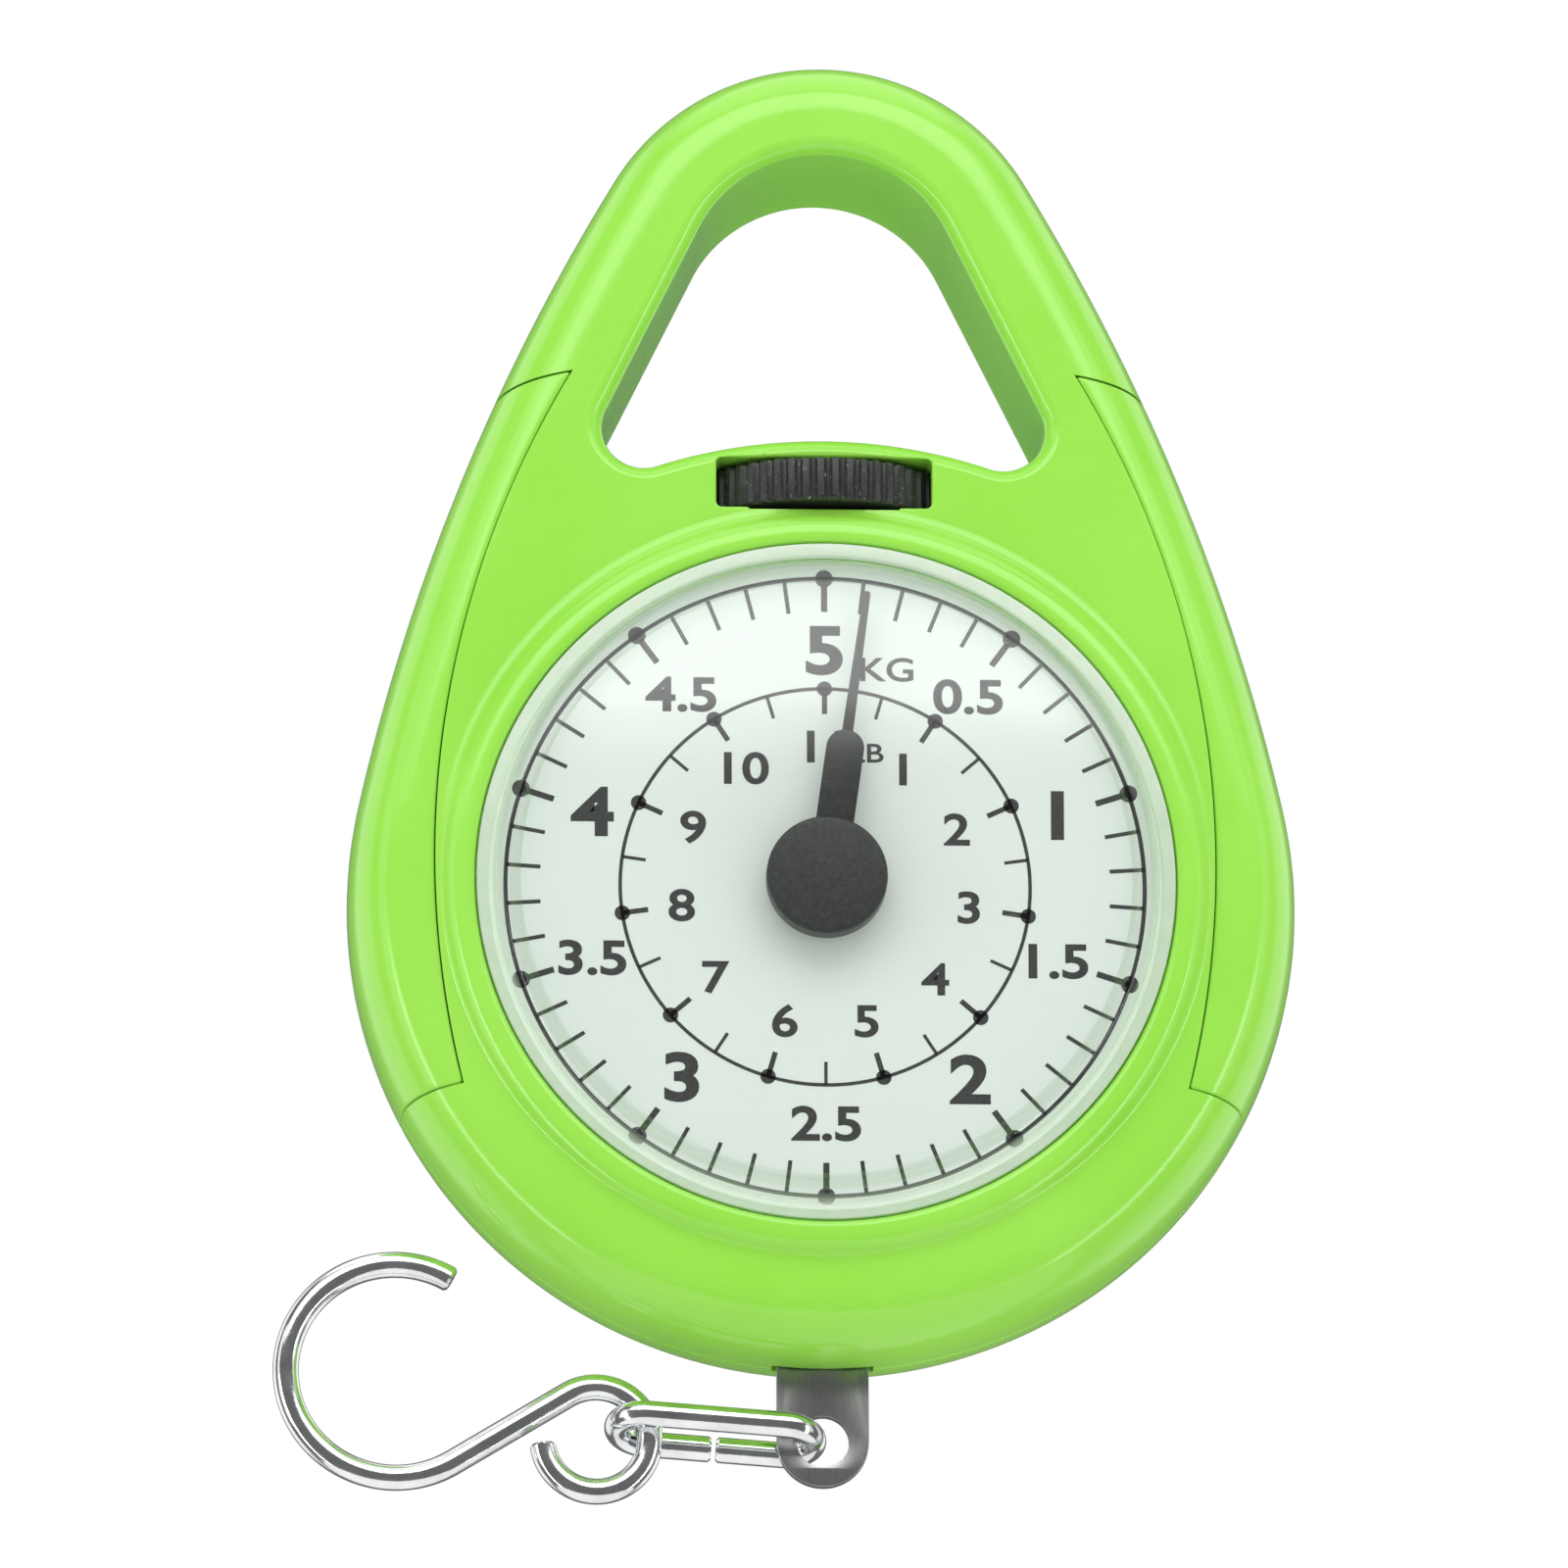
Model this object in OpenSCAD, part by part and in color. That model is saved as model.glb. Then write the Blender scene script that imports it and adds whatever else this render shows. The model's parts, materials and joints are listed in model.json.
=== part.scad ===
// Hanging spring scale: a teardrop case with a loop handle, a dial under a domed window,
// a rack and pinion movement hung from two springs, and an S-hook on a link.
// X is to the right, the dial faces -Y, Z is up. The origin is the point inside the handle
// that the scale hangs from, so the dial centre is dial_drop below it.

/* [Case] */
// Height of the hanging point above the dial centre
dial_drop = 64.35; // [64:0.05:64.6]
// Radius of the round lower body
body_r = 40; // [39.6:0.1:40.4]
// Radius of the handle's outer top
handle_r = 20.4; // [20:0.1:20.8]
// Height of the handle's outer arc centre above the dial centre
handle_z = 53; // [52.8:0.1:53.4]
// Radius of the long flank arcs
flank_r = 185; // [180:1:190]
// Half of the case's depth
case_half = 9; // [8.9:0.05:9.2]
// Inset over which the edge of the case is rounded
edge_w = 5.5; // [5:0.1:6]
// Thickness of the flat walls
wall = 2; // [1.9:0.05:2.1]
// Inset of the hollow from the outline
flank_wall = 3.4; // [3.2:0.1:3.6]

/* [Handle opening] */
// Radius of the opening's top arc
open_r = 11.6; // [11.4:0.1:11.8]
// Radius of the two lower corners
lobe_r = 3.5; // [3.2:0.1:3.8]
// Distance of a lower corner's centre from the middle
lobe_x = 15.2; // [15:0.1:15.4]
// Height of the lower corners' centres above the dial centre
lobe_z = 40.1; // [40:0.1:40.3]
// Height of the opening's floor above the dial centre
floor_z = 39.1; // [39:0.1:39.3]
// Radius of the rounded lip of the opening
open_lip = 1.6; // [1.4:0.1:1.8]

/* [Dial and window] */
// Radius of the window
lens_r = 29.4; // [29.2:0.1:29.45]
// Height of the window's dome above the case front
dome_h = 5; // [4.9:0.1:5.2]
// Radius of the dial plate
dial_r = 28.6; // [28.4:0.1:28.7]
// Radius of the pointer's hub
hub_r = 5.1; // [4.9:0.1:5.3]
// Length of the pointer from its axis
needle_len = 25.4; // [25:0.1:25.8]
// Angle that the pointer shows at rest
rest_angle = 8; // [4:1:12]

/* [Thumbwheel] */
// Radius of the thumbwheel
wheel_r = 10.8; // [10.6:0.1:10.9]
// Thickness of the thumbwheel
wheel_t = 3.7; // [3.6:0.05:3.75]
// Number of knurls
knurls = 54; // [48:1:60]

/* [Movement] */
// Gear module
gear_m = 0.5; // [0.5:0.1:0.5]
// Teeth of the pinion
teeth = 10; // [10:1:10]
// Pressure angle of rack and pinion
pressure = 25; // [25:1:25]
// Travel of the load bar at full scale
travel = 15.35; // [15:0.05:15.4]
// Width of the load bar's tab
tab_w = 7.73; // [7.6:0.01:7.9]
// Height of the tab's hole centre below the dial centre
tab_z = 46.2; // [46:0.1:46.4]
// Radius of the tab's hole
tab_hole_r = 2.2; // [2.2:0.05:2.3]

/* [Link and hook] */
// Radius of the link's and hook's wire
wire_r = 1.1; // [1.05:0.01:1.1]
// Distance between the wire centres at the link's two ends
link_pitch = 16.5; // [16:0.1:17]
// Distance between the wire centres of the link's two sides
link_w = 5; // [5:0.1:5.2]
// Rise of the link at rest
link_rise = 4.25; // [4:0.05:4.5]
// Twist of the link about its length
link_twist = 17; // [16:0.5:17]
// Radius of the hook's eye at the wire centre
eye_r = 4.5; // [4.5:0.05:4.6]
// Radius of the hook's bowl at the wire centre
bowl_r = 9.2; // [9:0.1:9.4]

/* [Hidden] */
$fn = 64;

lime = [0.55, 0.92, 0.25];
steel = [0.6, 0.62, 0.64];
brass = [0.8, 0.65, 0.3];

// Outline arcs: the flanks touch the body circle and the handle circle from outside
flank_z = (pow(flank_r - body_r, 2) - pow(flank_r - handle_r, 2) + pow(handle_z, 2))
    / (2 * handle_z);
flank_x = sqrt(pow(flank_r - body_r, 2) - pow(flank_z, 2));
low_a = atan2(-flank_z, flank_x);
high_a = atan2(handle_z - flank_z, flank_x);

// Opening arcs: the floor arc touches the corner arcs, the sides touch corners and top
open_z = dial_drop - open_r;
lobe_up = lobe_z - floor_z;
floor_r = (pow(lobe_x, 2) + pow(lobe_up, 2) - pow(lobe_r, 2)) / (2 * (lobe_r - lobe_up));
floor_c = floor_z - floor_r;
lobe_a = atan2(lobe_z - floor_c, lobe_x);
side_d = norm([lobe_x, lobe_z - open_z]);
side_a = 90 - atan2(open_z - lobe_z, lobe_x) - asin((open_r - lobe_r) / side_d);

// Covers: skin thickness, gap around them, their end lines and the arc of their front edge
cover_t = 1.5;
cover_gap = 0.3;
cover_edge_x = -50.8;
cover_edge_z = 2.3;
cover_edge_r = 83.7;
cover_low_z = -17.5;
cover_high_z = 44.6;

// Layers from front to rear
ring_y = -10.4;
lens_rim_y = -10.3;
dial_y = -8;
dial_t = 0.5;
seat_r = dial_r + 0.2;
dial_hole_r = 27.4;
chassis_y = -4.6;
chassis_t = 1;
bridge_y = 4.2;
sheet_t = 1;
inner_y = case_half - wall;

// Screws: places as seen from the front
case_screw_xz = [[27, 25], [-27, 25], [26, -20], [-26, -20], [0, 68.9]];
case_boss_r = 2.8;
case_screw_r = 1.1;
screw_head_r = 2.2;
chassis_screw_xz = [[18, 17], [-18, 17], [18, -17], [-18, -17]];
chassis_boss_r = 2.6;
chassis_screw_r = 0.9;
spacer_xz = [[0, 20], [0, -20], [21, 0], [-21, 0]];
post_x = 14;
post_r = 1.6;
stub_r = 0.9;

// Movement
pitch_r = gear_m * teeth / 2;
tooth_w = 0.6;
addendum = 0.4;
dedendum = 0.55;
arbor_r = 0.75;
running = 0.05;
rack_low = -2;
rack_high = 18.5;
window_low = -4;
window_high = 21.6;
bar_top = 23.6;
bar_x = 5.2;
roller_r = 1;
window_x = 3.7;
shoulder_x = 11.3;
shoulder_z = [-16.5, -12.5];
spring_x = 8.6;
spring_r = 2;
spring_wire = 0.4;
loop_r = 1.4;
hook_low_z = -14.3;
hook_high_z = 27.7;
pin_z = -27;
slot_half = 1.1;

// Zero adjustment
wheel_z = 33.2;
anchor_z = [25, 30.4];
anchor_shift = 1;
anchor_half = 11.4;
nut_r = 2.6;
adjust_r = 1.2;
shelf_z = [31.7, 32.7];

// Link and hook, in the plane of the load bar
link_play = 0.8;
link_split = 0.4;
eye_play = 2.1;
eye_play_a = 32.6;
bowl_gap = 17.8;
bowl_a = 161.1;
shank_a = acos((bowl_r + eye_r) / bowl_gap);
tip_a = 59;
eye_end = 185;

// Point at distance r and angle a from a centre, in the front view
function at(cx, cz, r, a) = [cx + r * cos(a), cz + r * sin(a)];

// The case outline at an inset, run anticlockwise
function outline(inset) = concat(
    [for (i = [0:43]) at(0, 0, body_r - inset, 180 - low_a + (180 + 2 * low_a) * i / 44)],
    [for (i = [0:7]) at(-flank_x, flank_z, flank_r - inset, low_a + (high_a - low_a) * i / 8)],
    [for (i = [0:19]) at(0, handle_z, handle_r - inset, high_a + (180 - 2 * high_a) * i / 20)],
    [for (i = [0:7]) at(flank_x, flank_z, flank_r - inset,
        180 - high_a + (high_a - low_a) * i / 8)]);

// The handle opening grown by an offset, run anticlockwise
function opening(grow) = concat(
    [for (i = [0:7]) at(0, floor_c, floor_r - grow, 180 - lobe_a + (2 * lobe_a - 180) * i / 8)],
    [for (i = [0:8]) at(lobe_x, lobe_z, lobe_r + grow,
        lobe_a - 180 + (side_a + 180 - lobe_a) * i / 8)],
    [for (i = [0:14]) at(0, open_z, open_r + grow, side_a + (180 - 2 * side_a) * i / 14)],
    [for (i = [0:7]) at(-lobe_x, lobe_z, lobe_r + grow,
        180 - side_a + (side_a + 180 - lobe_a) * i / 8)]);

// A closed solid from a stack of rings that all have the same number of points
module loft(rings) {
    n = len(rings[0]);
    m = len(rings);
    polyhedron(
        points = [for (ring = rings) for (p = ring) p],
        faces = concat(
            [[for (i = [n - 1:-1:0]) i]],
            [for (k = [0:m - 2]) for (i = [0:n - 1])
                [k * n + i, k * n + (i + 1) % n, (k + 1) * n + (i + 1) % n, (k + 1) * n + i]],
            [[for (i = [0:n - 1]) (m - 1) * n + i]]));
}

// Cushion over the outline: terraces that follow a rounded edge, widest at the parting plane
module cushion(inset, round_w, depth, steps = 4) {
    round_e = 2 / 2.4;
    for (k = [1:steps]) {
        rise = depth * pow(sin(90 * k / steps), round_e);
        drawn_in = k == 1 ? 0 : round_w * (1 - pow(cos(90 * (k - 0.5) / steps), round_e));
        sheet(-rise, rise) polygon(outline(inset + drawn_in));
    }
}

// The handle opening with a stepped lip at both faces
module opening_cut() {
    sheet(-case_half - 1, case_half + 1) polygon(opening(0));
    for (side = [-1, 1]) for (k = [1, 2]) {
        start = case_half - open_lip * (k == 1 ? 0.55 : 0.2);
        sheet(min(side * start, side * 20), max(side * start, side * 20))
            polygon(opening(open_lip * (k == 1 ? 0.25 : 0.65)));
    }
}

// Cylinder along Y between two depths, at a place in the front view
module bar_y(r, y0, y1, x = 0, z = 0) {
    translate([x, y1, z]) rotate([90, 0, 0]) cylinder(r = r, h = y1 - y0);
}

// Box from its low corner to its high corner
module block(low, high) {
    translate(low) cube(high - low);
}

// Flat shape in the front view, drawn in X and Z, with a thickness between two depths
module sheet(y0, y1) {
    translate([0, y1, 0]) rotate([90, 0, 0]) linear_extrude(height = y1 - y0) children();
}

// Area of one cover in the front view; grow widens it all round
module cover_area(side, grow) {
    far = body_r + 5;
    tilt_low = 12;
    tilt_high = 10;
    scale([side, 1]) difference() {
        polygon([
            [10, cover_low_z - grow + (10 - 30.5) * -tan(tilt_low)],
            [far, cover_low_z - grow - (far - 30.5) * tan(tilt_low)],
            [far, cover_high_z + grow - (far - 21.9) * tan(tilt_high)],
            [10, cover_high_z + grow + (21.9 - 10) * tan(tilt_high)]]);
        translate([cover_edge_x, cover_edge_z]) circle(r = cover_edge_r - grow);
    }
}

// The two pockets that the covers lie in
module cover_pockets() {
    inset = cover_t + 0.1;
    for (side = [-1, 1]) difference() {
        sheet(-case_half - 1, case_half + 1) cover_area(side, cover_gap);
        cushion(inset, edge_w, case_half - inset);
    }
}

// Room for the thumbwheel and its two slots
module wheel_room() {
    slot_x = 9.1;
    slot_low = 32.95;
    slot_high = 37.3;
    translate([0, 0, shelf_z[1]]) cylinder(r = wheel_r + 0.2, h = 37.1 - shelf_z[1]);
    block([-slot_x, -case_half - 3, slot_low], [slot_x, case_half + 3, slot_high]);
}

// Slot for the tab in the bottom of the case
module tab_room() {
    block([-tab_w / 2 - 0.4, -sheet_t / 2 - 0.4, -body_r - 2],
        [tab_w / 2 + 0.4, sheet_t / 2 + 0.4, -30]);
}

// Hollow of the case, which leaves walls round the opening and a shelf under the thumbwheel
module hollow() {
    difference() {
        cushion(flank_wall, edge_w - 1, inner_y, 3);
        sheet(-case_half, case_half) polygon(opening(1.7));
        block([-40, -case_half, shelf_z[0]], [40, case_half, shelf_z[1]]);
    }
}

// Both halves of the case in one, before they are parted
module whole_case() {
    difference() {
        union() {
            difference() {
                union() {
                    cushion(0, edge_w, case_half);
                    lens_ring();
                }
                hollow();
            }
            for (p = case_screw_xz)
                bar_y(case_boss_r, -inner_y - 0.3, inner_y + 0.3, p[0], p[1]);
        }
        opening_cut();
        cover_pockets();
        wheel_room();
        tab_room();
        bar_y(dial_hole_r, -20, -1);
        bar_y(lens_r + 0.1, -20, -case_half);
        bar_y(seat_r, dial_y, -1);
        translate([0, 0, shelf_z[0] - 1]) cylinder(r = 1.7, h = 3);
        for (p = case_screw_xz) {
            bar_y(case_screw_r + 0.05, -6, case_half + 1, p[0], p[1]);
            bar_y(screw_head_r + 0.3, case_half - 3.5, case_half + 1, p[0], p[1]);
        }
    }
}

module front_shell() {
    color(lime) translate([0, 0, -dial_drop]) intersection() {
        whole_case();
        block([-50, -20, -50], [50, 0, 80]);
    }
}

// Raised ring round the window
module lens_ring() {
    rotate([90, 0, 0]) rotate_extrude() polygon([
        [20, inner_y + 0.5], [20, -ring_y - 0.1], [lens_r + 0.3, -ring_y - 0.1],
        [lens_r + 0.6, -ring_y], [lens_r + 1.2, -ring_y], [lens_r + 2, -ring_y - 0.3],
        [lens_r + 2.6, case_half + 0.4], [lens_r + 3, case_half - 0.2],
        [lens_r + 3, inner_y + 0.5]]);
}

module rear_shell() {
    color(lime) translate([0, 0, -dial_drop]) {
        intersection() {
            whole_case();
            block([-50, 0, -50], [50, 20, 80]);
        }
        for (p = chassis_screw_xz) difference() {
            bar_y(chassis_boss_r, chassis_y, inner_y + 0.3, p[0], p[1]);
            bar_y(chassis_screw_r + 0.02, chassis_y - 1, 4, p[0], p[1]);
        }
        for (side = [-1, 1]) anchor_guide(side);
    }
}

// Rib that keeps one end of the spring anchor from turning
module anchor_guide(side) {
    low = [anchor_half + 0.3, -2, 23.5];
    high = [anchor_half + 1.5, inner_y + 0.5, shelf_z[0] + 0.3];
    scale([side, 1, 1]) block(low, high);
}

module cover(side) {
    color(lime) translate([0, 0, -dial_drop]) intersection() {
        sheet(-case_half - 1, case_half + 1) cover_area(side, 0);
        difference() {
            cushion(0, edge_w, case_half);
            cushion(cover_t, edge_w, case_half - cover_t);
        }
    }
}
module left_cover() { cover(-1); }
module right_cover() { cover(1); }

// Screw along Y with a round head and a cross recess; way is 1 for a head at the rear
module screw(r, length, head_r, head_h, way) {
    recess = head_r * 0.62;
    scale([1, way, 1]) difference() {
        union() {
            bar_y(r, -length, 0.2);
            bar_y(head_r, 0, head_h);
        }
        block([-recess, head_h * 0.4, -0.25], [recess, head_h + 1, 0.25]);
        block([-0.25, head_h * 0.4, -recess], [0.25, head_h + 1, recess]);
    }
}

module case_screws() {
    color(steel) translate([0, 0, -dial_drop]) for (p = case_screw_xz)
        translate([p[0], case_half - 3.5, p[1]]) screw(case_screw_r, 10.5, screw_head_r, 1.6, 1);
}

module chassis_screws() {
    color(steel) translate([0, 0, -dial_drop]) for (p = chassis_screw_xz)
        translate([p[0], chassis_y - chassis_t, p[1]]) screw(chassis_screw_r, 8, 1.8, 1.1, -1);
}

module lens() {
    thick = 1.3;
    sag = 1.8;
    shoulder_r = 27;
    top = case_half + dome_h;
    ball = (shoulder_r * shoulder_r + sag * sag) / (2 * sag);
    dome = [for (i = [0:8]) let (r = shoulder_r * i / 8) [r, top - ball + sqrt(ball * ball - r * r)]];
    inside = [for (p = dome) [p[0] * (shoulder_r - thick) / shoulder_r, p[1] - thick]];
    color([0.85, 0.95, 0.9, 0.35]) translate([0, 0, -dial_drop])
        rotate([90, 0, 0]) rotate_extrude($fn = 96) polygon(concat(
            dome,
            [[27.6, top - 2.3], [28, -lens_rim_y], [lens_r, -lens_rim_y], [lens_r, case_half],
                [26.6, case_half], [26.2, top - 4]],
            [for (i = [8:-1:0]) inside[i]]));
}

module dial_plate() {
    color([0.88, 0.93, 0.89]) translate([0, 0, -dial_drop]) difference() {
        bar_y(dial_r, dial_y, dial_y + dial_t);
        bar_y(1.6, dial_y - 1, 0);
    }
}

module dial_spacers() {
    color([0.2, 0.2, 0.2]) translate([0, 0, -dial_drop]) for (p = spacer_xz)
        bar_y(2, dial_y + dial_t, chassis_y - chassis_t, p[0], p[1]);
}

module chassis_plate() {
    cut_z = 22;
    color(steel) translate([0, 0, -dial_drop]) difference() {
        intersection() {
            bar_y(26.5, chassis_y - chassis_t, chassis_y);
            block([-30, -10, -cut_z], [30, 0, cut_z]);
        }
        bar_y(1.85, -10, 0);
        for (side = [-1, 1]) {
            bar_y(stub_r, -10, 0, side * post_x, 0);
            bar_y(4.5, -10, 0, side * 9, 13);
            bar_y(4.5, -10, 0, side * 9, -14);
        }
        bar_y(0.6, -10, 0, -window_x + roller_r + 0.1, 4.8);
        for (p = chassis_screw_xz) bar_y(chassis_screw_r + 0.1, -10, 0, p[0], p[1]);
    }
    // Leg that reaches down to carry the guide pin
    color(steel) translate([0, 0, -dial_drop]) difference() {
        block([-3.5, chassis_y - chassis_t, pin_z - 3], [3.5, chassis_y, -22]);
        bar_y(0.6, -10, 0, 0, pin_z);
    }
}

module rear_bridge() {
    color(steel) translate([0, 0, -dial_drop]) sheet(bridge_y, bridge_y + sheet_t) difference() {
        union() {
            square([2 * post_x, 6], center = true);
            for (side = [-1, 1]) translate([side * post_x, 0]) circle(r = 3);
        }
        circle(r = 1.85);
        for (side = [-1, 1]) translate([side * post_x, 0]) circle(r = stub_r);
    }
}

module bridge_posts() {
    color(steel) translate([0, 0, -dial_drop]) for (side = [-1, 1]) {
        bar_y(post_r, chassis_y, bridge_y, side * post_x, 0);
        bar_y(stub_r, chassis_y - chassis_t, bridge_y + sheet_t, side * post_x, 0);
        bar_y(1.3, bridge_y + sheet_t, bridge_y + sheet_t + 0.5, side * post_x, 0);
        bar_y(1.3, chassis_y - chassis_t - 0.5, chassis_y - chassis_t, side * post_x, 0);
    }
}

// Flanged bush: its barrel fills the plate between y0 and y1, its flange is on one side
module bush(y0, y1, flange0, flange1) {
    color(brass) translate([0, 0, -dial_drop]) difference() {
        union() {
            bar_y(1.85, min(y0, flange0), max(y1, flange1));
            bar_y(2.8, flange0, flange1);
        }
        bar_y(arbor_r + running, -20, 20);
    }
}
module front_bush() { bush(chassis_y - chassis_t - 0.4, chassis_y, chassis_y, chassis_y + 1); }
module rear_bush() { bush(bridge_y, bridge_y + sheet_t + 0.4, bridge_y - 1, bridge_y); }

module arbor() {
    color(steel) translate([0, 0, -dial_drop]) {
        bar_y(arbor_r, -11.6, 6.2);
        bar_y(1.4, -3.4, -1.5);
        bar_y(1.4, 1.5, 3);
    }
}

// Involute of the base circle, as an angle in degrees at radius r
function involute(base, r) = let (a = acos(min(1, base / r))) tan(a) * 180 / PI - a;

module pinion() {
    base = pitch_r * cos(pressure);
    tip = pitch_r + addendum;
    root = pitch_r - dedendum;
    half = tooth_w / 2 / pitch_r * 180 / PI + involute(base, pitch_r);
    low = max(base, root);
    flank = [for (i = [0:5]) let (r = low + (tip - low) * i / 5) [r, half - involute(base, r)]];
    side = concat([[root, half]], flank);
    tooth = concat([for (p = side) [p[0], -p[1]]], [for (i = [6:-1:0]) side[i]]);
    color(brass) translate([0, 0, -dial_drop]) difference() {
        sheet(-1.5, 1.5) polygon([for (k = [0:teeth - 1]) for (p = tooth)
            let (a = p[1] + k * 360 / teeth) [p[0] * cos(a), p[0] * sin(a)]]);
        bar_y(arbor_r + 0.005, -5, 5);
    }
}

module pointer() {
    arm_w = 3.2;
    arm_len = 13;
    needle_w = 1;
    low_y = -10.1;
    color([0.08, 0.08, 0.08]) translate([0, 0, -dial_drop]) rotate([0, rest_angle, 0])
        difference() {
            union() {
                bar_y(hub_r, low_y - 2, low_y);
                bar_y(2.2, low_y - 1, dial_y - 0.8);
                sheet(low_y - 1, low_y) {
                    translate([-arm_w / 2, 0]) square([arm_w, arm_len - arm_w / 2]);
                    translate([0, arm_len - arm_w / 2]) circle(r = arm_w / 2);
                }
                sheet(low_y - 0.5, low_y)
                    translate([-needle_w / 2, 0]) square([needle_w, needle_len]);
            }
            bar_y(arbor_r + 0.005, low_y - 1.5, 0);
        }
}

module guide_roller() {
    x = -window_x + roller_r + 0.1;
    color(steel) translate([0, 0, -dial_drop]) {
        bar_y(roller_r, chassis_y, 1.2, x, 4.8);
        bar_y(0.6, chassis_y - chassis_t, chassis_y, x, 4.8);
    }
}

module guide_pin() {
    color(steel) translate([0, 0, -dial_drop]) {
        bar_y(1, chassis_y, 1.2, 0, pin_z);
        bar_y(0.6, chassis_y - chassis_t, chassis_y, 0, pin_z);
        bar_y(1.6, 1.2, 1.8, 0, pin_z);
    }
}

// Stamped bar: rack and window round the arbor, shoulders for the springs, slot and tab
module load_bar() {
    pitch = PI * gear_m;
    top_w = tooth_w / 2 - addendum * tan(pressure);
    root_w = tooth_w / 2 + dedendum * tan(pressure);
    tab_r = tab_w / 2;
    color(steel) translate([0, 0, -dial_drop]) {
        sheet(-sheet_t / 2, sheet_t / 2) difference() {
            union() {
                translate([-bar_x, shoulder_z[0]]) square([2 * bar_x, bar_top - shoulder_z[0]]);
                translate([-shoulder_x, shoulder_z[0]])
                    square([2 * shoulder_x, shoulder_z[1] - shoulder_z[0]]);
                translate([-tab_r, -tab_z]) square([tab_w, tab_z + shoulder_z[0] + 1]);
                translate([0, -tab_z]) circle(r = tab_r);
            }
            translate([-window_x, window_low])
                square([window_x + pitch_r + dedendum, window_high - window_low]);
            translate([0, -tab_z]) circle(r = tab_hole_r);
            for (side = [-1, 1]) translate([side * spring_x, hook_low_z]) circle(r = 0.9);
            translate([-slot_half, pin_z]) square([2 * slot_half, travel]);
            translate([0, pin_z]) circle(r = slot_half);
            translate([0, pin_z + travel]) circle(r = slot_half);
        }
        for (k = [ceil(rack_low / pitch):floor(rack_high / pitch)])
            sheet(-sheet_t / 2, sheet_t / 2) translate([pitch_r, (k + 0.5) * pitch]) polygon([
                [dedendum + 0.2, -root_w], [-addendum, -top_w],
                [-addendum, top_w], [dedendum + 0.2, root_w]]);
    }
}

// Extension spring: a coil with a loop at each end, swept as one tube along its path
module spring(side) {
    turns = 15;
    per_turn = 8;
    low = hook_low_z + loop_r + 1.2;
    high = hook_high_z - loop_r - 1.2;
    lower_loop = [for (a = [-150:25:-30]) [0, loop_r * cos(a), hook_low_z + loop_r + loop_r * sin(a)]];
    coil = [for (i = [0:turns * per_turn]) let (a = 90 + 360 * i / per_turn)
        [spring_r * sin(a - 90), spring_r * cos(a - 90), low + (high - low) * i / turns / per_turn]];
    upper_loop = [for (a = [30:25:155]) [0, loop_r * cos(a), hook_high_z - loop_r + loop_r * sin(a)]];
    path = concat(lower_loop, coil, upper_loop);
    n = len(path);
    color(steel) translate([side * spring_x, 0, -dial_drop])
        loft([for (i = [0:n - 1])
            tube_ring(path[i], path[min(i + 1, n - 1)] - path[max(i - 1, 0)], spring_wire)]);
}

// Hexagonal ring of the given radius round a point, square to a direction
function tube_ring(p, dir, r) = let (
    d = dir / norm(dir),
    u = cross(d, [1, 0, 0.01]),
    s = u / norm(u),
    t = cross(d, s))
    [for (a = [0:60:300]) p + r * (s * cos(a) - t * sin(a))];

module left_spring() { spring(-1); }
module right_spring() { spring(1); }

module spring_anchor() {
    slot_h = 2 * anchor_shift + 2 * spring_wire + 0.4;
    color(steel) translate([0, 0, -dial_drop]) difference() {
        union() {
            block([-anchor_half, -0.6, anchor_z[0]], [anchor_half, 0.6, anchor_z[1]]);
            translate([0, 0, anchor_z[0]]) cylinder(r = nut_r, h = anchor_z[1] - anchor_z[0]);
        }
        translate([0, 0, anchor_z[0] - 1]) cylinder(r = adjust_r + running, h = 10);
        for (side = [-1, 1]) block(
            [side * spring_x - 0.7, -2, hook_high_z - slot_h / 2],
            [side * spring_x + 0.7, 2, hook_high_z + slot_h / 2]);
    }
}

module adjust_screw() {
    color(steel) translate([0, 0, -dial_drop]) {
        translate([0, 0, 24]) cylinder(r = adjust_r, h = wheel_z + wheel_t - 24);
        translate([0, 0, wheel_z]) cylinder(r = 1.6, h = 1);
    }
}

module wheel_insert() {
    color(brass) translate([0, 0, wheel_z - dial_drop]) difference() {
        cylinder(r = 2.6, h = wheel_t);
        translate([0, 0, -1]) cylinder(r = adjust_r + 0.01, h = wheel_t + 2);
        translate([0, 0, -1]) cylinder(r = 1.61, h = 2.01);
    }
}

module thumbwheel() {
    groove = 0.35;
    color([0.1, 0.1, 0.1]) translate([0, 0, wheel_z - dial_drop]) difference() {
        linear_extrude(height = wheel_t) polygon([for (k = [0:knurls - 1]) for (i = [0:3])
            let (a = (k + [0, 0.35, 0.5, 0.85][i]) * 360 / knurls, r = wheel_r - (i > 1 ? groove : 0))
            [r * cos(a), r * sin(a)]]);
        translate([0, 0, -1]) cylinder(r = 2.61, h = wheel_t + 2);
    }
}

module thrust_washer() {
    color(steel) translate([0, 0, shelf_z[1] - dial_drop]) difference() {
        cylinder(r = 4, h = wheel_z - shelf_z[1]);
        translate([0, 0, -1]) cylinder(r = 1.7, h = 3);
    }
}

module stop_buffers() {
    color([0.15, 0.15, 0.15]) translate([0, 0, -dial_drop]) intersection() {
        for (side = [-1, 1]) block([side * 8.5 - 2.2, -2, -40], [side * 8.5 + 2.2, 3, -32.4]);
        sheet(-2, 3) polygon(outline(flank_wall + 0.9));
    }
}

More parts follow.
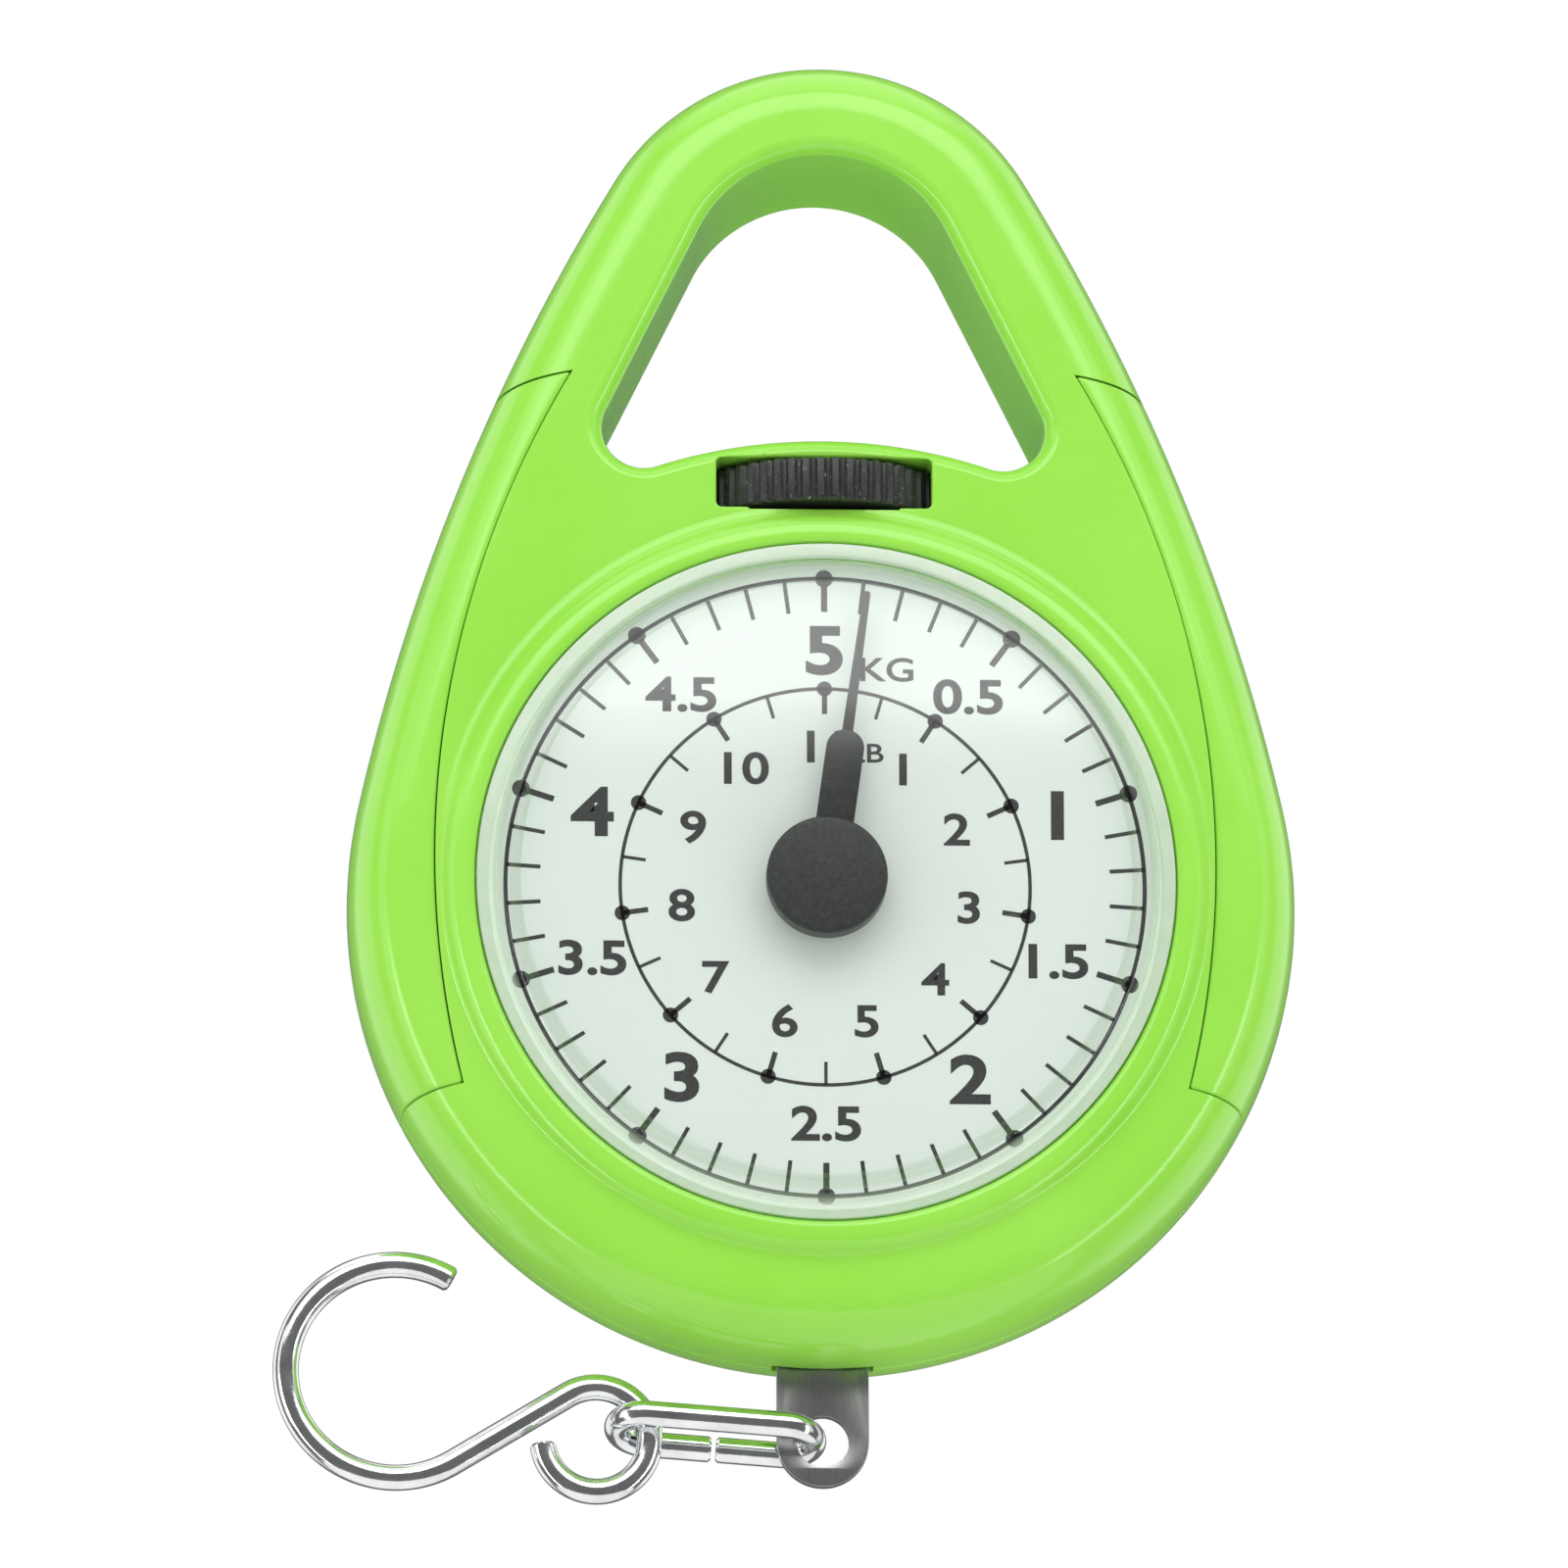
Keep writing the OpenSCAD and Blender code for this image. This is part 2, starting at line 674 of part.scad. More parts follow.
// Split oval link, drawn along X from the wire in the tab's hole, then turned into place
module link() {
    bend_r = link_w / 2;
    length = link_pitch - link_w;
    color([0.8, 0.8, 0.8]) translate([0, 0, -dial_drop - tab_z])
        rotate([0, link_rise, 0]) rotate([-link_twist, 0, 0]) translate([-link_play, 0, 0]) {
            for (end = [0, 1]) translate([-bend_r - end * length, 0, 0])
                rotate([0, 0, end == 0 ? -90 : 90])
                    rotate_extrude(angle = 180, $fn = 48)
                        translate([bend_r, 0]) circle(r = wire_r);
            translate([-bend_r - length, -bend_r, 0]) rotate([0, 90, 0])
                cylinder(r = wire_r, h = length);
            translate([-bend_r - length / 2 + link_split / 2, bend_r, 0]) rotate([0, 90, 0])
                cylinder(r = wire_r, h = (length - link_split) / 2);
            translate([-bend_r - length, bend_r, 0]) rotate([0, 90, 0])
                cylinder(r = wire_r, h = (length - link_split) / 2);
        }
}

// Wire bent round a centre in the front view, clockwise from its right side
module bend(r, sweep) {
    rotate([-90, 0, 0]) rotate_extrude(angle = sweep, $fn = 64)
        translate([r, 0]) circle(r = wire_r, $fn = 40);
}

// S-hook: eye, straight shank that crosses to the bowl's far side, and open bowl
module hook() {
    far = [-(link_play + link_pitch) * cos(link_rise), 0, (link_play + link_pitch) * sin(link_rise)];
    eye = far - eye_play * [cos(eye_play_a), 0, sin(eye_play_a)];
    turn = bowl_a - shank_a - 90;
    reach = sqrt(pow(bowl_gap, 2) - pow(bowl_r + eye_r, 2));
    color([0.8, 0.8, 0.8]) translate([0, 0, -dial_drop - tab_z]) translate(eye)
        rotate([0, -turn, 0]) {
            rotate([0, -90, 0]) bend(eye_r, 450 + turn - eye_end);
            translate([0, 0, eye_r]) rotate([0, -90, 0]) cylinder(r = wire_r, h = reach, $fn = 40);
            translate([-reach, 0, eye_r + bowl_r]) rotate([0, 90, 0])
                bend(bowl_r, 270 + turn - tip_a);
        }
}

front_shell();
rear_shell();
left_cover();
right_cover();
case_screws();
lens();
dial_plate();
dial_spacers();
chassis_plate();
chassis_screws();
rear_bridge();
bridge_posts();
front_bush();
rear_bush();
arbor();
pinion();
pointer();
guide_roller();
guide_pin();
load_bar();
left_spring();
right_spring();
spring_anchor();
adjust_screw();
wheel_insert();
thumbwheel();
thrust_washer();
stop_buffers();
link();
hook();
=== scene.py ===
import json
import math

import bmesh
import bpy
from mathutils import Matrix, Vector


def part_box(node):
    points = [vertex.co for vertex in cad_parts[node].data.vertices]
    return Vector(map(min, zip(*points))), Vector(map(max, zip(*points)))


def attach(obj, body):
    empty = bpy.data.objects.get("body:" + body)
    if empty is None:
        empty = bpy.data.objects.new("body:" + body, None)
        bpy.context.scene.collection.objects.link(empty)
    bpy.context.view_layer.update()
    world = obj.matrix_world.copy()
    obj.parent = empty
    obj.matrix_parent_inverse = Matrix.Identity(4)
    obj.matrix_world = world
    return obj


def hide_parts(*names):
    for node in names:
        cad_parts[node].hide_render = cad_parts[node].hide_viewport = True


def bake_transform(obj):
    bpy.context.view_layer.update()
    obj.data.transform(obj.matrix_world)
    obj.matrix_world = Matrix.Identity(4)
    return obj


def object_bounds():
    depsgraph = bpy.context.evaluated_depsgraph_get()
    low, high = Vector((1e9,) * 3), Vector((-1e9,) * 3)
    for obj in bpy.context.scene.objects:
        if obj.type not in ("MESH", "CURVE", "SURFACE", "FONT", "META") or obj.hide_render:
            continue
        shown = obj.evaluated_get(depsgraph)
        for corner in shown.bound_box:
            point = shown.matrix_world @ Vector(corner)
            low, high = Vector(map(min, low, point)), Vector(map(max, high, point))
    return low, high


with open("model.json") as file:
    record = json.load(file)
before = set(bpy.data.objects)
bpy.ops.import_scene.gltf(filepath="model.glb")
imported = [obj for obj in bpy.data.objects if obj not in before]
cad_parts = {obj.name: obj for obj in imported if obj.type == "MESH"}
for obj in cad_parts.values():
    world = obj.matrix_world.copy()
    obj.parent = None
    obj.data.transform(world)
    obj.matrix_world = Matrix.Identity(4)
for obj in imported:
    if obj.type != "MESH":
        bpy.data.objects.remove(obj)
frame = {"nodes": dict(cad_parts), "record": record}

cad_low, cad_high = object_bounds()

# Pieces are built in millimetres round the dial centre, then put in the row frame in metres.
MM = 0.001
dial_low, dial_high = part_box("dial_plate")
DIAL = (dial_low + dial_high) / 2
TO_ROW = Matrix.Translation((0, 0, DIAL.z)) @ Matrix.Scale(MM, 4)

# Case outline: round body, two long flanks and the handle's arc, all touching
BODY_R = 40
HANDLE_R, HANDLE_Z = 20.4, 53
FLANK_R = 185
CASE_HALF = 9  # half the depth
EDGE_W, EDGE_POWER = 5.5, 2.4  # width and squareness of the rounded edge
FLANK_Z = ((FLANK_R - BODY_R) ** 2 - (FLANK_R - HANDLE_R) ** 2 + HANDLE_Z**2) / (2 * HANDLE_Z)
FLANK_X = math.sqrt((FLANK_R - BODY_R) ** 2 - FLANK_Z**2)
LOW_A = math.atan2(-FLANK_Z, FLANK_X)
HIGH_A = math.atan2(HANDLE_Z - FLANK_Z, FLANK_X)

# Handle opening: top arc, two corner lobes, slightly domed floor
OPEN_R, OPEN_LIP = 11.6, 1.6
OPEN_Z = -DIAL.z / MM - OPEN_R
LOBE_R, LOBE_X, LOBE_Z = 3.5, 15.2, 40.1
FLOOR_Z = 39.1
LOBE_UP = LOBE_Z - FLOOR_Z
FLOOR_R = (LOBE_X**2 + LOBE_UP**2 - LOBE_R**2) / (2 * (LOBE_R - LOBE_UP))
FLOOR_C = FLOOR_Z - FLOOR_R
LOBE_A = math.atan2(LOBE_Z - FLOOR_C, LOBE_X)
SIDE_D = math.hypot(LOBE_X, LOBE_Z - OPEN_Z)
SIDE_A = math.pi / 2 - math.atan2(OPEN_Z - LOBE_Z, LOBE_X) - math.asin((OPEN_R - LOBE_R) / SIDE_D)

# Walls and the hollow inside them
WALL = 2
FLANK_WALL = 3.4
OPEN_WALL = 1.7
SHELF_Z = (31.7, 32.7)

# Side covers: skin and gap, the front edge's arc (x, z, radius), end lines (x, z, slope)
COVER_T, COVER_GAP = 1.5, 0.09
COVER_ARC = (-50.8, 2.3, 83.7)
COVER_LOW = (30.5, -17.5, math.tan(math.radians(12)))
COVER_HIGH = (21.9, 44.6, math.tan(math.radians(10)))

# Dial with its print, window and thumbwheel
LENS_R, DIAL_HOLE_R, DIAL_R = 29.4, 28.3, 28.6
DIAL_Y, DIAL_T, DIAL_BORE = -8, 0.5, 1.2
INK, INK_SINK = 0.02, 0.01
CAP_SHARE, LETTER_WIDTH = 0.73, 1.22
WHEEL_R, WHEEL_T, WHEEL_Z, KNURLS = 10.8, 3.7, 33.2, 54
SLOT_X, SLOT_LOW, SLOT_HIGH = 9.1, 32.95, 37.3
POCKET_TOP = 37.1
REST_ANGLE = math.radians(8)  # of the pointer, clockwise from the top

# Load bar, springs, link and hook
TAB_W, TAB_Z, TAB_HOLE_R = 7.73, 46.2, 2.2
SPRING_X, SPRING_LOW, SPRING_HIGH = 8.6, -14.3, 27.7
WIRE_R = 1.1

# Rear screws
SCREW_XZ = [(27, 25), (-27, 25), (26, -20), (-26, -20), (0, 68.9)]
HEAD_Y = CASE_HALF - 3.5
HEAD_R = 2.2

BEYOND = 20  # a cutter's reach, past every face
FINE = 256  # steps round the large circles


# ---------- flat outlines ----------

def around(cx, cz, r, a):
    """Point of a circle at an angle."""
    return cx + r * math.cos(a), cz + r * math.sin(a)


def arc(cx, cz, r, a0, a1, n):
    """n points of an arc, without its last one."""
    return [around(cx, cz, r, a0 + (a1 - a0) * i / n) for i in range(n)]


def quarter_round(n):
    """Shares (1 - sine, 1 - cosine) of a quarter turn in n steps, for eased edges."""
    turns = [math.pi / 2 * k / n for k in range(n + 1)]
    return [(1 - math.sin(a), 1 - math.cos(a)) for a in turns]


def bisect(low, high, rounds, before):
    """The place where a test of a number stops being true, by halving."""
    for _ in range(rounds):
        mid = (low + high) / 2
        low, high = (mid, high) if before(mid) else (low, mid)
    return low


def outline(inset):
    """The case outline drawn in by an inset."""
    turn = math.pi
    return (
        arc(0, 0, BODY_R - inset, turn - LOW_A, 2 * turn + LOW_A, 240)
        + arc(-FLANK_X, FLANK_Z, FLANK_R - inset, LOW_A, HIGH_A, 56)
        + arc(0, HANDLE_Z, HANDLE_R - inset, HIGH_A, turn - HIGH_A, 120)
        + arc(FLANK_X, FLANK_Z, FLANK_R - inset, turn - HIGH_A, turn - LOW_A, 56)
    )


def opening(grow):
    """The handle opening grown by an offset."""
    turn = math.pi
    return (
        arc(0, FLOOR_C, FLOOR_R - grow, turn - LOBE_A, LOBE_A, 40)
        + arc(LOBE_X, LOBE_Z, LOBE_R + grow, LOBE_A - turn, SIDE_A, 40)
        + arc(0, OPEN_Z, OPEN_R + grow, SIDE_A, turn - SIDE_A, 72)
        + arc(-LOBE_X, LOBE_Z, LOBE_R + grow, turn - SIDE_A, 2 * turn - LOBE_A, 40)
    )


def edge_profile(width, depth, steps):
    """(inset, rise) pairs over the rounded edge, from the parting plane to the flat face."""
    power = 2 / EDGE_POWER
    pairs = []
    for k in range(steps + 1):
        a = math.pi / 2 * k / steps
        inset = width * (1 - max(math.cos(a), 0) ** power)
        pairs.append((inset, depth * math.sin(a) ** power))
    return pairs


def cover_line(line, x, grow):
    """Height of a cover's end line at x."""
    x0, z0, slope = line
    return z0 + grow - (x - x0) * slope


def rounded_box(half_x, z0, z1, r):
    """A rectangle with round corners, as points."""
    quarter = math.pi / 2
    return (
        arc(half_x - r, z0 + r, r, -quarter, 0, 8)
        + arc(half_x - r, z1 - r, r, 0, quarter, 8)
        + arc(r - half_x, z1 - r, r, quarter, 2 * quarter, 8)
        + arc(r - half_x, z0 + r, r, 2 * quarter, 3 * quarter, 8)
    )


# ---------- mesh building ----------

def put(name, data):
    """A new object in the scene."""
    obj = bpy.data.objects.new(name, data)
    bpy.context.collection.objects.link(obj)
    return obj


def mesh_object(name, verts, faces):
    mesh = bpy.data.meshes.new(name)
    mesh.from_pydata([tuple(v) for v in verts], [], faces)
    solid = bmesh.new()
    solid.from_mesh(mesh)
    bmesh.ops.recalc_face_normals(solid, faces=solid.faces)
    solid.to_mesh(mesh)
    solid.free()
    return put(name, mesh)


def loft(name, rings, closed=False):
    """A skin over rings of equal length, capped at its ends unless it closes on itself."""
    n, m = len(rings[0]), len(rings)
    verts = [p for ring in rings for p in ring]
    faces = []
    for k in range(m if closed else m - 1):
        a, b = k * n, (k + 1) % m * n
        faces += [(a + i, a + (i + 1) % n, b + (i + 1) % n, b + i) for i in range(n)]
    if not closed:
        faces += [tuple(range(n))[::-1], tuple((m - 1) * n + i for i in range(n))]
    return mesh_object(name, verts, faces)


def flat_ring(points, y):
    return [(x, y, z) for x, z in points]


def prism(name, points, y0, y1):
    return loft(name, [flat_ring(points, y0), flat_ring(points, y1)])


def box(name, low, high):
    corners = [(low[0], low[2]), (high[0], low[2]), (high[0], high[2]), (low[0], high[2])]
    return prism(name, corners, low[1], high[1])


def revolve(name, profile, segments, centre=(0, 0)):
    """A profile of (radius, y) turned round the Y axis; a radius of 0 closes the end."""
    rings, poles = [], {}
    verts, faces = [], []
    for k, (r, y) in enumerate(profile):
        if r < 1e-6:
            poles[k] = len(verts)
            rings.append(None)
            verts.append((centre[0], y, centre[1]))
            continue
        rings.append(len(verts))
        for i in range(segments):
            a = 2 * math.pi * i / segments
            verts.append((centre[0] + r * math.cos(a), y, centre[1] + r * math.sin(a)))
    for k in range(len(profile) - 1):
        a, b = rings[k], rings[k + 1]
        for i in range(segments):
            j = (i + 1) % segments
            if a is None:
                faces.append((poles[k], b + j, b + i))
            elif b is None:
                faces.append((a + i, a + j, poles[k + 1]))
            else:
                faces.append((a + i, a + j, b + j, b + i))
    return mesh_object(name, verts, faces)


def drum(name, r, y0, y1):
    return revolve(name, [(0, y0), (r, y0), (r, y1), (0, y1)], FINE)


def smooth_line(points, per_span):
    """A soft curve through points, by Catmull and Rom's rule."""
    pts = [Vector(p).to_3d() for p in points]
    pts = [pts[0] * 2 - pts[1]] + pts + [pts[-1] * 2 - pts[-2]]
    out = []
    for k in range(1, len(pts) - 2):
        p0, p1, p2, p3 = pts[k - 1 : k + 3]
        for i in range(per_span):
            t = i / per_span
            out.append(
                0.5 * (2 * p1 + (p2 - p0) * t + (2 * p0 - 5 * p1 + 4 * p2 - p3) * t**2
                       + (3 * p1 - p0 - 3 * p2 + p3) * t**3)
            )
    out.append(pts[-2])
    return [(p.x, p.y) for p in out]


def bake(obj):
    """Turns an object's modifiers into its mesh."""
    graph = bpy.context.evaluated_depsgraph_get()
    mesh = bpy.data.meshes.new_from_object(obj.evaluated_get(graph))
    obj.modifiers.clear()
    obj.data = mesh
    return obj


def boolean(obj, tool, operation="DIFFERENCE"):
    step = obj.modifiers.new("step", "BOOLEAN")
    step.operation, step.solver, step.object = operation, "EXACT", tool
    bake(obj)
    bpy.data.objects.remove(tool)
    return obj


def bevel(obj, width, segments, angle):
    step = obj.modifiers.new("edge", "BEVEL")
    step.width, step.segments = width, segments
    step.limit_method, step.angle_limit = "ANGLE", math.radians(angle)
    return bake(obj)


def sweep(name, path, r, sides=28, chamfer=0.22):
    """A round wire along a path, its cut ends chamfered."""
    pts = [Vector(p) for p in path]
    last = len(pts) - 1
    tangents = [(pts[min(i + 1, last)] - pts[max(i - 1, 0)]).normalized() for i in range(last + 1)]
    across = tangents[0].orthogonal().normalized()
    stations = []
    for point, tangent in zip(pts, tangents):
        across = (across - tangent * across.dot(tangent)).normalized()
        stations.append((point, tangent, across, r))
    (p0, t0, u0, _), (p1, t1, u1, _) = stations[0], stations[-1]
    stations = (
        [(p0, t0, u0, r - chamfer), (p0 + t0 * chamfer, t0, u0, r)]
        + stations[2:-2]
        + [(p1 - t1 * chamfer, t1, u1, r), (p1, t1, u1, r - chamfer)]
    )
    turns = [2 * math.pi * i / sides for i in range(sides)]
    rings = []
    for p, t, u, radius in stations:
        v = t.cross(u)
        rings.append([tuple(p + (u * math.cos(a) + v * math.sin(a)) * radius) for a in turns])
    return loft(name, rings)


def curve_mesh(data):
    """The mesh that a curve or lettering makes."""
    source = put("curve_source", data)
    graph = bpy.context.evaluated_depsgraph_get()
    mesh = bpy.data.meshes.new_from_object(source.evaluated_get(graph))
    bpy.data.objects.remove(source)
    return mesh


def sheet_metal(name, outlines, y, thickness, edge):
    """A flat plate from closed outlines in X and Z (holes included), its edges eased."""
    data = bpy.data.curves.new(name, "CURVE")
    data.dimensions, data.fill_mode = "2D", "BOTH"
    data.extrude, data.bevel_depth, data.bevel_resolution = thickness / 2 - edge, edge, 2
    data.offset = -edge
    for points in outlines:
        line = data.splines.new("POLY")
        line.points.add(len(points) - 1)
        for p, (x, z) in zip(line.points, points):
            p.co = (x, z, 0, 1)
        line.use_cyclic_u = True
    mesh = curve_mesh(data)
    mesh.transform(Matrix.Translation((0, y, 0)) @ Matrix.Rotation(math.pi / 2, 4, "X"))
    return weld(put(name, mesh))


def weld(obj, distance=0.001):
    work = bmesh.new()
    work.from_mesh(obj.data)
    bmesh.ops.remove_doubles(work, verts=work.verts, dist=distance)
    bmesh.ops.recalc_face_normals(work, faces=work.faces)
    work.to_mesh(obj.data)
    work.free()
    return obj


def join(name, objects):
    """One object from several, which are used up."""
    work = bmesh.new()
    for o in objects:
        work.from_mesh(o.data)
        bpy.data.objects.remove(o)
    mesh = bpy.data.meshes.new(name)
    work.to_mesh(mesh)
    work.free()
    return put(name, mesh)


def dress(obj, body, finish, nodes=(), sharp=34, weighted=False):
    """Puts a finished piece in the row frame, on its body, in place of its CAD nodes."""
    obj.data.transform(TO_ROW)
    obj.data.shade_smooth()
    obj.data.set_sharp_from_angle(angle=math.radians(sharp))
    if weighted:
        step = obj.modifiers.new("normals", "WEIGHTED_NORMAL")
        step.keep_sharp, step.weight = True, 60
    obj.data.materials.clear()
    obj.data.materials.append(finish)
    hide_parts(*nodes)
    if body:
        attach(obj, body)
    return obj


# ---------- materials ----------

class Finish:
    """A procedural material; lengths in its textures are millimetres."""

    def __init__(self, name, colour, rough, metal=0.0):
        self.material = bpy.data.materials.new(name)
        self.material.use_nodes = True
        self.tree = self.material.node_tree
        self.shader = self.tree.nodes["Principled BSDF"]
        self.shader.inputs["Base Color"].default_value = (*colour, 1)
        self.shader.inputs["Roughness"].default_value = rough
        self.shader.inputs["Metallic"].default_value = metal
        where = self.node("ShaderNodeTexCoord")
        scale = self.node("ShaderNodeMapping")
        scale.inputs["Scale"].default_value = (1 / MM,) * 3
        self.link(where.outputs["Object"], scale.inputs["Vector"])
        self.place = scale.outputs["Vector"]
        self.bumps = None

    def node(self, kind, **settings):
        made = self.tree.nodes.new(kind)
        for key, value in settings.items():
            setattr(made, key, value)
        return made

    def link(self, a, b):
        self.tree.links.new(a, b)

    def stretched(self, x, y, z):
        made = self.node("ShaderNodeMapping")
        made.inputs["Scale"].default_value = (x, y, z)
        self.link(self.place, made.inputs["Vector"])
        return made.outputs["Vector"]

    def noise(self, scale, detail, place=None, rough=0.55):
        made = self.node("ShaderNodeTexNoise")
        made.inputs["Scale"].default_value = scale
        made.inputs["Detail"].default_value = detail
        made.inputs["Roughness"].default_value = rough
        self.link(place or self.place, made.inputs["Vector"])
        return made.outputs["Fac"]

    def cells(self, scale):
        made = self.node("ShaderNodeTexVoronoi")
        made.inputs["Scale"].default_value = scale
        self.link(self.place, made.inputs["Vector"])
        return made.outputs["Distance"]

    def ramp(self, fac, stops):
        """stops: (position, value or colour) pairs."""
        made = self.node("ShaderNodeValToRGB")
        band = made.color_ramp
        while len(band.elements) < len(stops):
            band.elements.new(0.5)
        for element, (at, value) in zip(band.elements, stops):
            element.position = at
            value = (value,) * 3 if isinstance(value, (int, float)) else value
            element.color = (*value, 1)
        self.link(fac, made.inputs["Fac"])
        return made.outputs["Color"]

    def mix(self, fac, a, b):
        made = self.node("ShaderNodeMix", data_type="RGBA")
        for value, index in ((fac, 0), (a, 6), (b, 7)):
            socket = made.inputs[index]
            if isinstance(value, float):
                socket.default_value = value
            elif isinstance(value, tuple):
                socket.default_value = (*value, 1)
            else:
                self.link(value, socket)
        return made.outputs[2]

    def span(self, value, low, high, start=0.0, end=1.0, **settings):
        """Maps a value from the range start to end into the range low to high."""
        made = self.node("ShaderNodeMapRange", **settings)
        limits = {"From Min": start, "From Max": end, "To Min": low, "To Max": high}
        for key, number in limits.items():
            made.inputs[key].default_value = number
        self.link(value, made.inputs["Value"])
        return made.outputs["Result"]

    def maths(self, operation, a, b=0.0):
        made = self.node("ShaderNodeMath", operation=operation)
        for value, socket in ((a, made.inputs[0]), (b, made.inputs[1])):
            if isinstance(value, (int, float)):
                socket.default_value = value
            else:
                self.link(value, socket)
        return made.outputs["Value"]

    def axes(self):
        """X, Y and Z of the place."""
        made = self.node("ShaderNodeSeparateXYZ")
        self.link(self.place, made.inputs["Vector"])
        return [made.outputs[k] for k in ("X", "Y", "Z")]

    def layers(self, fac, a, b):
        made = self.node("ShaderNodeMixShader")
        for socket, key in ((fac, "Fac"), (a, 1), (b, 2)):
            self.link(socket, made.inputs[key])
        return made.outputs["Shader"]

    def surface(self, socket):
        self.link(socket, self.tree.nodes["Material Output"].inputs["Surface"])

    def colour(self, socket):
        self.link(socket, self.shader.inputs["Base Color"])

    def rough(self, fac, low, high):
        self.link(self.span(fac, low, high), self.shader.inputs["Roughness"])

    def bump(self, height, depth, strength):
        """Adds a bump of a given depth in millimetres."""
        made = self.node("ShaderNodeBump")
        made.inputs["Strength"].default_value = strength
        made.inputs["Distance"].default_value = depth * MM
        self.link(height, made.inputs["Height"])
        if self.bumps:
            self.link(self.bumps, made.inputs["Normal"])
        self.bumps = made.outputs["Normal"]
        self.link(self.bumps, self.shader.inputs["Normal"])

    def set(self, **values):
        for key, value in values.items():
            self.shader.inputs[key.replace("_", " ")].default_value = value


def lime_plastic():
    f = Finish("lime_plastic", (0.3, 0.7, 0.07), 0.3)
    cloud = f.noise(0.05, 3)
    grain = f.noise(2.2, 4)
    tone = f.ramp(cloud, [(0.35, (0.275, 0.665, 0.06)), (0.65, (0.305, 0.695, 0.078))])
    spots = f.ramp(grain, [(0.3, (0.258, 0.66, 0.05)), (0.7, (0.338, 0.74, 0.095))])
    f.colour(f.mix(0.12, tone, spots))
    f.rough(grain, 0.1, 0.19)
    f.bump(f.noise(1.1, 3), 0.012, 0.6)
    f.bump(f.noise(7, 2), 0.003, 0.5)
    f.set(IOR=1.5, Subsurface_Weight=0.12, Subsurface_Radius=(0.4, 0.9, 0.15))
    f.set(Subsurface_Scale=0.001)
    return f.material


def black_plastic(name, painted_glints=0.0, rough=(0.3, 0.5)):
    f = Finish(name, (0.02, 0.022, 0.02), 0.4)
    grain = f.noise(3, 4)
    tone = f.ramp(grain, [(0.3, (0.014, 0.016, 0.014)), (0.75, (0.036, 0.04, 0.036))])
    # Painted highlights: light grey specks over the black stand in for the glints on the
    # thumbwheel's knurls
    if painted_glints:
        glint_specks = f.ramp(f.noise(2.6, 6, rough=0.75), [(0.62, 0), (0.68, 1)])
        tone = f.mix(glint_specks, tone, f.mix(painted_glints, (0.05, 0.05, 0.05), (0.75, 0.77, 0.75)))
    f.colour(tone)
    f.rough(grain, *rough)
    f.bump(f.noise(5, 3), 0.01, 0.7)
    return f.material


def steel(name, tone, rough, brushed):
    f = Finish(name, tone, rough[0], 1.0)
    lines = f.noise(9, 4, f.stretched(*brushed))
    stains = f.noise(0.25, 4)
    dark = tuple(c * 0.82 for c in tone)
    light = tuple(min(c * 1.12, 1) for c in tone)
    drawn = f.ramp(lines, [(0.3, dark), (0.7, light)])
    f.colour(f.mix(0.5, drawn, f.ramp(stains, [(0.3, dark), (0.7, tone)])))
    f.rough(f.mix(0.5, lines, stains), *rough)
    f.bump(lines, 0.006, 0.5)
    return f.material


def chrome():
    f = Finish("chrome_wire", (0.78, 0.79, 0.8), 0.08, 1.0)
    haze = f.noise(0.5, 4)
    pits = f.ramp(f.cells(1.6), [(0.0, 1.0), (0.045, 0.0)])
    plating = f.ramp(haze, [(0.3, (0.7, 0.71, 0.72)), (0.7, (0.86, 0.87, 0.88))])
    f.colour(f.mix(pits, plating, (0.25, 0.25, 0.25)))
    f.rough(haze, 0.05, 0.2)
    f.bump(f.noise(1.3, 4), 0.02, 0.5)
    return f.material


def dial_paint():
    f = Finish("dial_print_ground", (0.77, 0.83, 0.79), 0.55)
    fibre = f.noise(4, 5)
    cloud = f.noise(0.08, 2)
    ground = f.ramp(cloud, [(0.3, (0.755, 0.82, 0.77)), (0.7, (0.785, 0.84, 0.8))])
    speckle = f.ramp(fibre, [(0.3, (0.73, 0.79, 0.745)), (0.7, (0.81, 0.86, 0.82))])
    f.colour(f.mix(0.3, ground, speckle))
    f.rough(fibre, 0.45, 0.65)
    f.bump(fibre, 0.004, 0.4)
    return f.material


def ink():
    f = Finish("dial_print_ink", (0.02, 0.02, 0.02), 0.5)
    patchy = f.noise(3.5, 5)
    f.colour(f.ramp(patchy, [(0.3, (0.012, 0.014, 0.013)), (0.8, (0.05, 0.055, 0.052))]))
    f.rough(patchy, 0.4, 0.6)
    f.bump(patchy, 0.003, 0.3)
    return f.material


